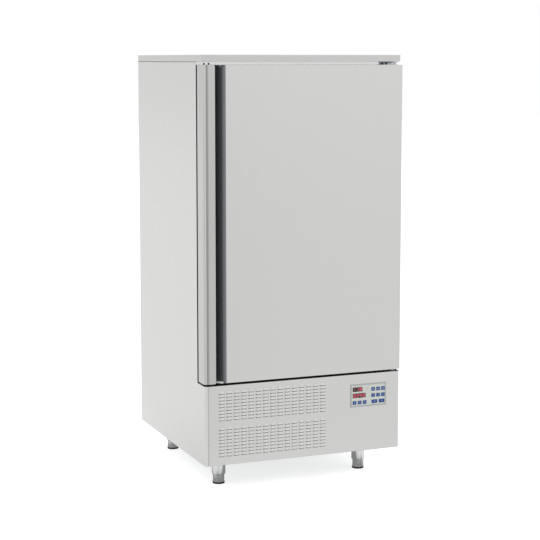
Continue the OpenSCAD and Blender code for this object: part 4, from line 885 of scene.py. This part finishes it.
def door():
    """The door's pieces: what the frame shapes well is finished, the gasket is drawn anew."""
    profile = merged_copy("door_handle_profile", "door_handle_finished", "handle_steel")
    smooth(profile, 30)
    flatten(profile, weight=50, keep_sharp=True)
    applied(profile)
    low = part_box("door_handle_profile")[0]
    # Painted shade: the faces inside the finger groove get the groove's painted shade and painted reflection
    second_finish(profile, "groove_painted_shade",
                  lambda centre: centre.x > low.x + LIP_W * MM and centre.y > low.y + 0.5 * MM
                  or centre.x > low.x + LIP_SIDE * MM and centre.y > low.y + LIP_T * MM)
    settle(profile, "door_handle_profile", replaces=["door_handle_profile"])
    # Of the two caps, the upper one has the groove's painted shade and painted reflection
    caps = finished("door_handle_caps", "cap", 0.25)
    second_finish(caps, "groove_painted_shade", lambda centre: centre.z > 1)
    finished("door_inner_panel", "inner_steel", 0.45)
    finished("door_hinge_bushes", "nylon", 0.3)
    door_gasket()


# ---- Feet ----

PAD_H = 7.0           # height of the black pad under each leg, in mm


def feet():
    """Polished sleeves, and in each a ringed leg on a black pad."""
    finished("foot_sleeves", "tube", 0.4, 3)
    for front in ("front", "rear"):
        for side in ("left", "right"):
            leg = finished(f"leg_{front}_{side}", "tube", 0.35, 2)
            second_finish(leg, "rubber", lambda centre: centre.z < (PAD_H + 0.05) * MM)


# ---- Air and cold ----

FIN_PITCH = 3.2       # from one fin of a coil to the next, in mm
FIN_T = 0.3           # thickness of a fin
FIN_WAVES = 8         # half waves in a fin, from front to back
COIL_PLATE = 1.5      # thickness of a coil's end plates
COIL_PITCH = 25.0     # from one tube to the next, and the tubes' diameter
COIL_TUBE = 10.0
PAN_T = 1.5           # thickness of the base pan
GROMMET_H = 13.5      # height of the compressor's rubber feet
HUB_R = 35            # radius of a fan's hub
HUB_PLACE = (2, 28)   # its dome and its open end, behind the fan's front
BLADES = 5
BLADE_T = 1.8         # thickness of a blade
BLADE_REACH = 12.5    # how far it may reach to the front and to the rear
BLADE_PITCH = (38, 20)     # its angle at the root in degrees, and how much less it is at the tip
BLADE_CHORD = (50, 26)     # its chord at the root, and how much longer it is at the tip
BLADE_CAMBER = 16


def finned_coil(node, foot, head):
    """A coil: thin fins between two end plates, and copper tubes with their return bends. The
    fins stay clear of the node's foot and head by so many millimetres."""
    low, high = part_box(node)
    reach = (COIL_PITCH + COIL_TUBE) / 2 - 0.5
    x0, x1 = low.x + reach * MM, high.x - reach * MM
    z0, z1 = low.z + foot * MM, high.z - head * MM
    depth, height = high.y - low.y, (z1 - z0) / MM

    # One fin, a sheet in waves from front to back, and its copies
    bm = bmesh.new()
    first, front = x0 + (COIL_PLATE + FIN_PITCH / 2) * MM, low.y + 4 * MM
    edge = [(first + 0.5 * MM * (1 if i % 2 else -1), front + (high.y - front) * i / FIN_WAVES)
            for i in range(FIN_WAVES + 1)]
    for a, b in zip(edge, edge[1:]):
        bm.faces.new([bm.verts.new(p) for p in ((*a, z0), (*b, z0), (*b, z1), (*a, z1))])
    fins = from_bmesh(node + "_fins", bm, "fins", recalculate=False)
    add_wall(fins, FIN_T)
    applied(fins)
    count = int((x1 - x0 - 2 * COIL_PLATE * MM) / (FIN_PITCH * MM))
    repeated(fins, "fins", column=(count, (FIN_PITCH * MM, 0, 0)))
    settle(fins, node, replaces=[node])

    bm = bmesh.new()
    for x in (x0, x1 - COIL_PLATE * MM):
        box_into(bm, (x, low.y, low.z), (x + COIL_PLATE * MM, high.y, high.z))
    plates = soften(from_bmesh(node + "_end_plates", bm, "galvanised"), 0.4)
    settle(plates, node)

    # One serpent: a tube through the fins and back, with a bend at each end
    pairs = int((height - 20) // (2 * COIL_PITCH))
    start = (height - (2 * pairs - 1) * COIL_PITCH) / 2
    y, tube, bend = low.y + depth * 0.3, COIL_TUBE / 2 * MM, COIL_PITCH / 2 * MM
    bm = bmesh.new()
    for z in (z0 + start * MM, z0 + (start + COIL_PITCH) * MM):
        tube_into(bm, [(x0 - 0.5 * MM, y, z), (x1 + 0.5 * MM, y, z)], tube)
    middle = z0 + (start + COIL_PITCH / 2) * MM
    for x, sign in ((x0 + 0.5 * MM, -1), (x1 - 0.5 * MM, 1)):
        tube_into(bm, [(x + sign * bend * math.cos(a), y, middle + bend * math.sin(a))
                       for a in (math.pi * (i / 10 - 0.5) for i in range(11))], tube)
    tubes = from_bmesh(node + "_tubes", bm, "copper")
    repeated(tubes, "copper", row=(pairs, (0, 0, 2 * COIL_PITCH * MM)), column=(2, (0, depth * 0.4, 0)))
    smooth(tubes, 60)
    settle(tubes, node)


def fan_wheel(node):
    """A fan wheel: a domed hub on its shaft, and blades twisted from root to tip."""
    low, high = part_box(node)
    middle = (low + high) / 2
    tip = (high.z - low.z) / 2 / MM
    front, end = (low.y / MM + place for place in HUB_PLACE)
    back = high.y / MM
    # The matrix turns Z to +Y, so heights are places along Y
    axis = Matrix.Translation((middle.x, 0, middle.z)) @ Matrix.Rotation(-math.pi / 2, 4, "X")
    bm = bmesh.new()
    lathe_into(bm, [(0, front), (20, front + 0.5), (HUB_R - 3, front + 2), (HUB_R, front + 6), (HUB_R, end),
                    (HUB_R - 3, end), (HUB_R - 4, end - 6), (9, end - 6), (8, end - 1), (4, end - 1),
                    (4, back), (0, back)], axis)
    wheel = from_bmesh(node + "_wheel", bm, "fan")

    bm = bmesh.new()
    stations, chords = 7, 8
    for blade in range(BLADES):
        rows = []
        for t in (i / (stations - 1) for i in range(stations)):
            r = HUB_R - 1.5 + (tip - 1.5 - HUB_R) * t
            twist = math.radians(BLADE_PITCH[0] - BLADE_PITCH[1] * t)
            sweep = 0.16 * math.sin(math.pi * t * 0.5) + 2 * math.pi * blade / BLADES
            row = []
            for s in (j / (chords - 1) - 0.5 for j in range(chords)):
                along = (BLADE_CHORD[0] + BLADE_CHORD[1] * t) * s
                camber = BLADE_CAMBER * (0.25 - s * s)
                a = along * math.cos(twist) / r + sweep
                ahead = along * math.sin(twist) * 0.6 - camber * 0.5
                y = (front + end) / 2 + max(-BLADE_REACH, min(BLADE_REACH, ahead))
                row.append(bm.verts.new((middle.x + r * MM * math.sin(a), y * MM,
                                         middle.z + r * MM * math.cos(a))))
            rows.append(row)
        sheet_into(bm, rows)
    vanes = from_bmesh(node + "_blades", bm, "fan", recalculate=False)
    add_wall(vanes, BLADE_T)
    applied(vanes)
    smooth(vanes, 50)
    smooth(wheel, 40)
    settle(wheel, node, replaces=[node])
    settle(vanes, node)


def refrigeration():
    """What sits in the machine space and behind the fan panel."""
    finned_coil("condenser_coil", 0, 4)
    finned_coil("evaporator_coil", 10, 10)
    for node in ("condenser_fan", "evaporator_fan_lower", "evaporator_fan_upper"):
        fan_wheel(node)
    compressor = finished("compressor", "black_paint", 0)
    grommet_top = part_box("base_pan")[0].z + (PAN_T + GROMMET_H) * MM
    second_finish(compressor, "rubber", lambda centre: centre.z < grommet_top)
    finished("liquid_receiver", "black_paint", 0)
    finished("refrigerant_pipes", "copper", 0)
    finished("electrical_box", "box", 0.8, 3)
    finished("condenser_fan_shroud", "galvanised", 0.3)
    finished("evaporator_fan_panel", "inner_steel", 0.3)
    finished("evaporator_fan_guards", "zinc", 0)
    finished("fan_motors", "black_paint", 0.6)


# ---- Screws and nuts ----

# Turned shapes as (radius, height) in mm; each has its seat at height 0 and faces upwards
SCREW = [(0, -11), (1.2, -10.5), (1.9, -9), (1.9, 0), (3.5, 0), (3.5, 0.7), (3.2, 1.4), (2.3, 1.85),
         (1.3, 2.0), (0.95, 1.2), (0, 0.9)]
NUT = [(6, 0), (10, 0), (11, 1), (11, 9), (10, 10), (6, 10), (6, 0)]
BOLT = [(0, -17.5), (3, -17.5), (3, 3), (7, 3), (7, 6.4), (6.4, 7), (0, 7)]
FRAME_SCREW_X = (350, 368)                 # screws beside the door's upper corners and lower hinge, in mm
FRAME_SCREW_Z = (1589.9, 1607.9, 397)
REAR_SCREW_X = (-386, 0, 386)              # screws of the rear panel
REAR_SCREW_Z = (140, 380, 830, 1568)
FAN_SCREW_Z = (550, 1001.5, 1453)          # screws of the evaporator's fan panel
FOOT_IN = 26                               # from a sleeve's outer side to its stud
COMPRESSOR_Y, BOLT_X, BOLT_Y = 90, 82, 60  # the compressor's middle, and its bolts on either side
COMPRESSOR_X = 98                          # its middle from its left end


def fastened(name, profile, sides, seats, material="zinc"):
    """Copies of one turned fastener on their seats."""
    bm = bmesh.new()
    lathe_into(bm, profile, steps=sides)
    copy = from_bmesh(name + "_copy", bm, material)
    group = on_seats(name, copy, seats, material)
    bpy.data.objects.remove(copy)
    return group


def fasteners():
    """Every screw and nut of the cabinet, where the frame has them."""
    front, rear, up = (0, -1, 0), (0, 1, 0), (0, 0, 1)
    rear_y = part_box("rear_panel")[1].y
    body_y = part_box("mouth_frame")[0].y
    liner_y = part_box("liner_back_wall")[0].y
    lip_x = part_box("evaporator_fan_panel")[1].x - 10 * MM
    seats = [((x * MM, rear_y, z * MM), rear) for x in REAR_SCREW_X for z in REAR_SCREW_Z]
    seats += [((s * lip_x, liner_y - 1.2 * MM, z * MM), front) for s in (-1, 1) for z in FAN_SCREW_Z]
    screws = smooth(fastened("sheet_screws", SCREW, 16, seats), 40)
    settle(screws, "screws_and_nuts", replaces=["screws_and_nuts"])
    # The screws beside the door are coloured near black
    seats = [((x * MM, body_y - 4 * MM, z * MM), front) for x in FRAME_SCREW_X for z in FRAME_SCREW_Z]
    seats += [((-x * MM, body_y, FRAME_SCREW_Z[0] * MM), front) for x in FRAME_SCREW_X]
    settle(smooth(fastened("frame_screws", SCREW, 16, seats, "black_screw"), 40), "screws_and_nuts")

    # Hexagon nuts on the feet's studs, and bolts on the compressor's feet
    pan_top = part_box("base_pan")[0].z + PAN_T * MM
    low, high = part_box("foot_sleeves")
    seats = [((x, y, pan_top), up) for x in (low.x + FOOT_IN * MM, high.x - FOOT_IN * MM)
             for y in (low.y + FOOT_IN * MM, high.y - FOOT_IN * MM)]
    settle(soften(fastened("foot_nuts", NUT, 6, seats), 0.4), "screws_and_nuts")

    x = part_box("compressor")[0].x + COMPRESSOR_X * MM
    seats = [((x + sx * BOLT_X * MM, (COMPRESSOR_Y + sy * BOLT_Y) * MM, pan_top + 17 * MM), up)
             for sx in (-1, 1) for sy in (-1, 1)]
    settle(smooth(fastened("compressor_bolts", BOLT, 24, seats), 40), "screws_and_nuts")


# ---- Making everything ----

for node in ("left_side_panel", "right_side_panel"):
    side_panel(node)
for node in ("rear_panel", "base_pan", "deck_sheet"):
    finished(node, "galvanised", 0.25)
for node in ("liner_left_wall", "liner_right_wall", "liner_back_wall", "liner_ceiling", "liner_floor",
             "tray_rack_left", "tray_rack_right"):
    finished(node, "inner_steel", 0.25)
finished("mouth_frame", "frame_steel", 0.2)
for node in ("upper_hinge_bracket", "lower_hinge_bracket", "hinge_pins"):
    finished(node, "zinc", 0.5, 3)
finished("power_cable_gland", "gland", 0.4)
for node in ("insulation_foam", "door_foam"):
    foam = frame["nodes"][node]
    foam.data.materials.clear()
    foam.data.materials.append(MATERIALS["foam"])
cover_and_door_skin()
service_panel()
black_tapes()
control_unit()
door()
feet()
refrigeration()
fasteners()


# ---- Floor, light and camera ----

FLOOR_GLOW = 0.66      # what the eye sees of the floor besides its own light and shadow
WORLD_DIFFUSE = 0.85   # the studio's light on matt surfaces
HORIZON = 1.12         # the studio's walls in mirrors, and its ceiling
OVERHEAD = 1.12
FLOOR_FRONT = 1.0      # the floor in mirrors, in front of the cabinet and behind it
FLOOR_BEHIND = 1.25
UNDERSIDE = 0.37       # how far the painted shadow under the cabinet reaches in mirrors, in metres
UNDERSIDE_EDGE = 0.1   # how softly it ends
UNDERSIDE_LEVEL = 0.3
FLOOR_REACH = 30       # from the middle to the floor's edges, in metres
# What stands round the studio: the direction of each in degrees from +X, half its width and how
# far it dims the mirrored light, or brightens it where the value is below zero
STUDIO_FLATS = ((-90, 9, 0.5), (-122, 14, -0.14), (112, 16, 0.13))


def flats(tree, place, level):
    """Multiplies a level by what stands in the direction of a place."""
    xyz = parts_of(tree, place)
    heading = calc(tree, "ARCTAN2", xyz["Y"], xyz["X"])
    for degrees, half_width, dim in STUDIO_FLATS:
        away = calc(tree, "ABSOLUTE", calc(tree, "SUBTRACT", heading, math.radians(degrees)))
        kept = ranged(tree, away, math.radians(half_width * 0.5), math.radians(half_width * 1.5),
                      1 - dim, 1.0, "SMOOTHSTEP")
        level = calc(tree, "MULTIPLY", level, kept)
    return level


def floor():
    """A plain pale floor that is white to the eye and keeps the feet's soft shadow. In mirrors
    it is an even glow with a painted shadow, a dark patch, under the cabinet."""
    material = bpy.data.materials.new("pale_floor")
    material.use_nodes = True
    tree = material.node_tree
    tree.nodes.clear()
    place = own_place(tree)
    level = ranged(tree, parts_of(tree, place)["Y"], -1.0, 1.0, FLOOR_FRONT, FLOOR_BEHIND)
    handle = (*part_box("door_handle_profile")[0].xy, 0)
    from_handle = add(tree, "ShaderNodeVectorMath", {0: place, 1: handle}, operation="SUBTRACT")
    level = flats(tree, from_handle.outputs["Vector"], level)
    # Painted shadow: in mirrors the floor's glow is dimmed under the cabinet
    apart = add(tree, "ShaderNodeVectorMath", {0: place}, operation="ABSOLUTE").outputs["Vector"]
    away = calc(tree, "MAXIMUM", parts_of(tree, apart)["X"], parts_of(tree, apart)["Y"])
    painted_shadow = ranged(tree, away, UNDERSIDE, UNDERSIDE + UNDERSIDE_EDGE, UNDERSIDE_LEVEL, 1.0, "SMOOTHSTEP")
    level = calc(tree, "MULTIPLY", level, painted_shadow)

    path = add(tree, "ShaderNodeLightPath").outputs
    seen = calc(tree, "MAXIMUM", path["Is Camera Ray"], path["Is Transmission Ray"])
    seen = calc(tree, "MULTIPLY", seen, FLOOR_GLOW)
    paint = add(tree, "ShaderNodeBsdfDiffuse", {"Color": colour("#F0F0F0")})
    glow = add(tree, "ShaderNodeEmission", {"Color": (1, 1, 1, 1), "Strength": seen})
    direct = add(tree, "ShaderNodeAddShader", {0: paint.outputs["BSDF"], 1: glow.outputs["Emission"]})
    mirrored = add(tree, "ShaderNodeEmission", {"Color": (1, 1, 1, 1), "Strength": level})
    both = add(tree, "ShaderNodeMixShader", {0: path["Is Glossy Ray"], 1: direct.outputs["Shader"],
                                             2: mirrored.outputs["Emission"]})
    add(tree, "ShaderNodeOutputMaterial", {"Surface": both.outputs["Shader"]})

    MATERIALS["floor"] = material
    bm = bmesh.new()
    bm.faces.new([bm.verts.new((x * FLOOR_REACH, y * FLOOR_REACH, 0))
                  for x, y in ((-1, -1), (1, -1), (1, 1), (-1, 1))])
    from_bmesh("floor", bm, "floor", recalculate=False)


def studio_world():
    """White to the eye, an even light for matt surfaces, and for mirrors a bright studio with
    a few flats that draw lines along curved steel."""
    world = bpy.data.worlds.new("studio")
    bpy.context.scene.world = world
    world.use_nodes = True
    tree = world.node_tree
    tree.nodes.clear()
    direction = add(tree, "ShaderNodeTexCoord").outputs["Generated"]
    level = ranged(tree, parts_of(tree, direction)["Z"], 0.15, 0.75, HORIZON, OVERHEAD)
    level = flats(tree, direction, level)
    path = add(tree, "ShaderNodeLightPath").outputs
    mirror = calc(tree, "MAXIMUM", path["Is Glossy Ray"], path["Is Transmission Ray"])
    light = add(tree, "ShaderNodeMix", {0: mirror, 2: WORLD_DIFFUSE, 3: level}, data_type="FLOAT").outputs[0]
    light = add(tree, "ShaderNodeMix", {0: path["Is Camera Ray"], 2: light, 3: 1.0},
                data_type="FLOAT").outputs[0]
    shine = add(tree, "ShaderNodeBackground", {"Color": (1, 1, 1, 1), "Strength": light})
    add(tree, "ShaderNodeOutputWorld", {"Surface": shine.outputs["Background"]})


def soft_lamp(name, place, target, size, power):
    """A large soft lamp that lights matt surfaces and isn't mirrored in the steel."""
    lamp = bpy.data.lights.new(name, "AREA")
    lamp.energy = power
    lamp.size = size
    thing = new_object(name, lamp)
    thing.location = place
    thing.rotation_euler = (Vector(target) - Vector(place)).to_track_quat("-Z", "Y").to_euler()
    thing.visible_glossy = False


# Fitted to the outline of the photograph: metres, degrees to the right and down, mm of lens
CAMERA_PLACE = (-2.20165, -5.53856, 1.60567)
CAMERA_YAW, CAMERA_PITCH = 21.834, 6.5185
CAMERA_LENS = 100.645
CAMERA_SHIFT = -38 / 540      # of the image's width


def camera():
    """The photograph's view: a long lens in front of the cabinet and to its left."""
    data = bpy.data.cameras.new("camera")
    data.sensor_width = 36.0
    data.lens = CAMERA_LENS
    data.shift_y = CAMERA_SHIFT
    data.clip_end = 100
    data.dof.use_dof = False
    thing = new_object("camera", data)
    yaw, pitch = math.radians(CAMERA_YAW), math.radians(CAMERA_PITCH)
    ahead = Vector((math.sin(yaw) * math.cos(pitch), math.cos(yaw) * math.cos(pitch), -math.sin(pitch)))
    thing.location = CAMERA_PLACE
    thing.rotation_mode = "QUATERNION"
    thing.rotation_quaternion = ahead.to_track_quat("-Z", "Y")
    bpy.context.scene.camera = thing


floor()
studio_world()
soft_lamp("key_light", (-3.0, -3.2, 3.6), (0, 0, 0.9), 3.0, 60)
soft_lamp("fill_light", (3.4, -3.0, 2.4), (0, 0, 0.8), 3.0, 30)
camera()
bpy.context.scene.view_settings.view_transform = "Standard"
